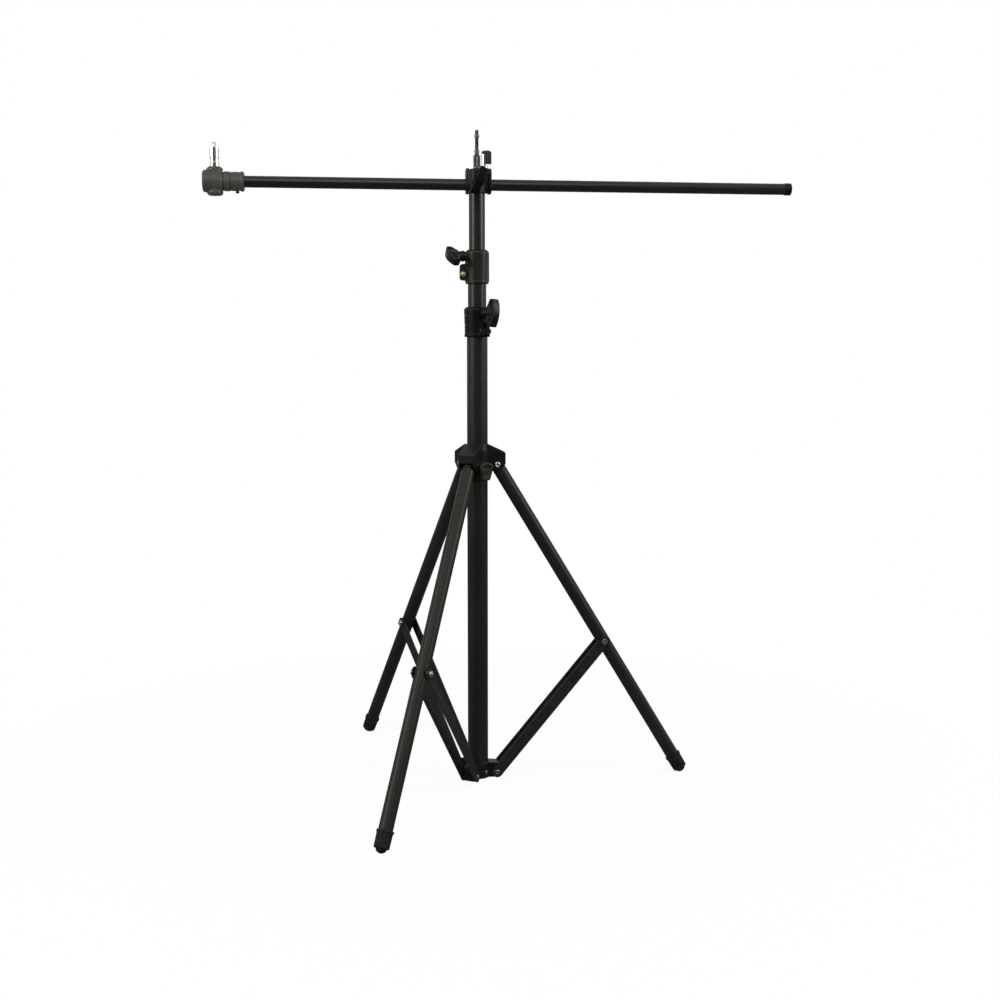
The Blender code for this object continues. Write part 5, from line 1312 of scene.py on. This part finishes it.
def stage_and_light():
    """Pale floor and background, soft studio lamps and the camera."""
    bpy.ops.mesh.primitive_plane_add(size=40, location=(0, 0, FLOOR_Z))
    floor = bpy.context.object
    floor.name = "studio_floor"
    material = bpy.data.materials.new("pale_floor")
    material.use_nodes = True
    tree = material.node_tree
    shader = tree.nodes["Principled BSDF"]
    set_inputs(tree, shader, Base_Color=(0.86, 0.86, 0.86, 1), Roughness=0.8,
               Specular_IOR_Level=0.1)
    in_view, shine = ray_kinds(tree)
    seen = maths(tree, "MAXIMUM", in_view, shine)
    glow = add_node(tree, "Emission", Color=(1, 1, 1, 1),
                    Strength=maths(tree, "MAXIMUM", in_view, FLOOR_SHINE))
    distance = add_node(tree, "VectorMath", add_node(tree, "TexCoord").outputs["Object"],
                        operation="LENGTH").outputs["Value"]
    fade = ramp(tree, distance, 0.45, 1.1, FLOOR_GLOW, shape="SMOOTHSTEP")
    mix = add_node(tree, "MixShader", maths(tree, "MULTIPLY", seen, fade), shader.outputs[0],
                   glow.outputs[0])
    set_inputs(tree, tree.nodes["Material Output"], Surface=mix.outputs[0])
    floor.data.materials.append(material)

    world = bpy.data.worlds.new("studio")
    world.use_nodes = True
    bpy.context.scene.world = world
    tree = world.node_tree
    in_view, shine = ray_kinds(tree)
    facing = add_node(tree, "VectorMath", add_node(tree, "TexCoord").outputs["Generated"],
                      FRONT_DIRECTION, operation="DOT_PRODUCT").outputs["Value"]
    reflected = ramp(tree, facing, 0.55, 0.92, ROOM_SIDES, ROOM_FRONT, "SMOOTHSTEP")
    change = maths(tree, "MULTIPLY", shine, maths(tree, "SUBTRACT", reflected, ROOM_LIGHT))
    strength = maths(tree, "MAXIMUM", in_view, maths(tree, "ADD", change, ROOM_LIGHT))
    set_inputs(tree, tree.nodes["Background"], Color=(1, 1, 1, 1), Strength=strength)

    for name, place, size, power in SOFTBOXES:
        lamp = bpy.data.lights.new(name, "AREA")
        lamp.shape = "RECTANGLE"
        lamp.size, lamp.size_y = size
        lamp.energy = power
        panel = added(name, lamp)
        panel.location = place
        aim = Vector((0, 0, 0.6)) - Vector(place)
        panel.rotation_euler = aim.to_track_quat("-Z", "Y").to_euler()

    lens = bpy.data.cameras.new("camera")
    lens.lens = CAMERA_LENS
    lens.sensor_width = 36
    camera = added("camera", lens)
    camera.location = CAMERA_PLACE
    azimuth = radians(CAMERA_AZIMUTH)
    dip = radians(CAMERA_DIP)
    look = Vector((cos(azimuth) * cos(dip), sin(azimuth) * cos(dip), -sin(dip)))
    camera.rotation_euler = look.to_track_quat("-Z", "Y").to_euler()
    bpy.context.scene.camera = camera
    bpy.context.scene.view_settings.view_transform = "Standard"


stage_and_light()
dress_hub()
dress_columns()
dress_collar("lower", column=0.0175, inner=0.0155, body="stand", ear_azimuth=-68.0,
             ear_drop=0.0006, ear_height=0.0235, knob_turn=-6.0, black=DARK_CASTING,
             metal=PAINTED_STEEL)
# The middle collar takes the lighter, shinier black painted steel instead of the casting finish.
# This is painted light: its lighter colour stands in for the light on this collar.
dress_collar("middle", column=0.0155, inner=0.0135, body="middle_section", ear_azimuth=180.0,
             ear_drop=0.0057, ear_height=0.0270, knob_turn=60.0, black=PAINTED_STEEL,
             metal=YELLOW_ZINC)
dress_crown()
for leg in LEG_AZIMUTH:
    dress_leg(leg)
    dress_brace(leg)
dress_top()
dress_holder()
dress_boom()
dress_head()
collar_screws()
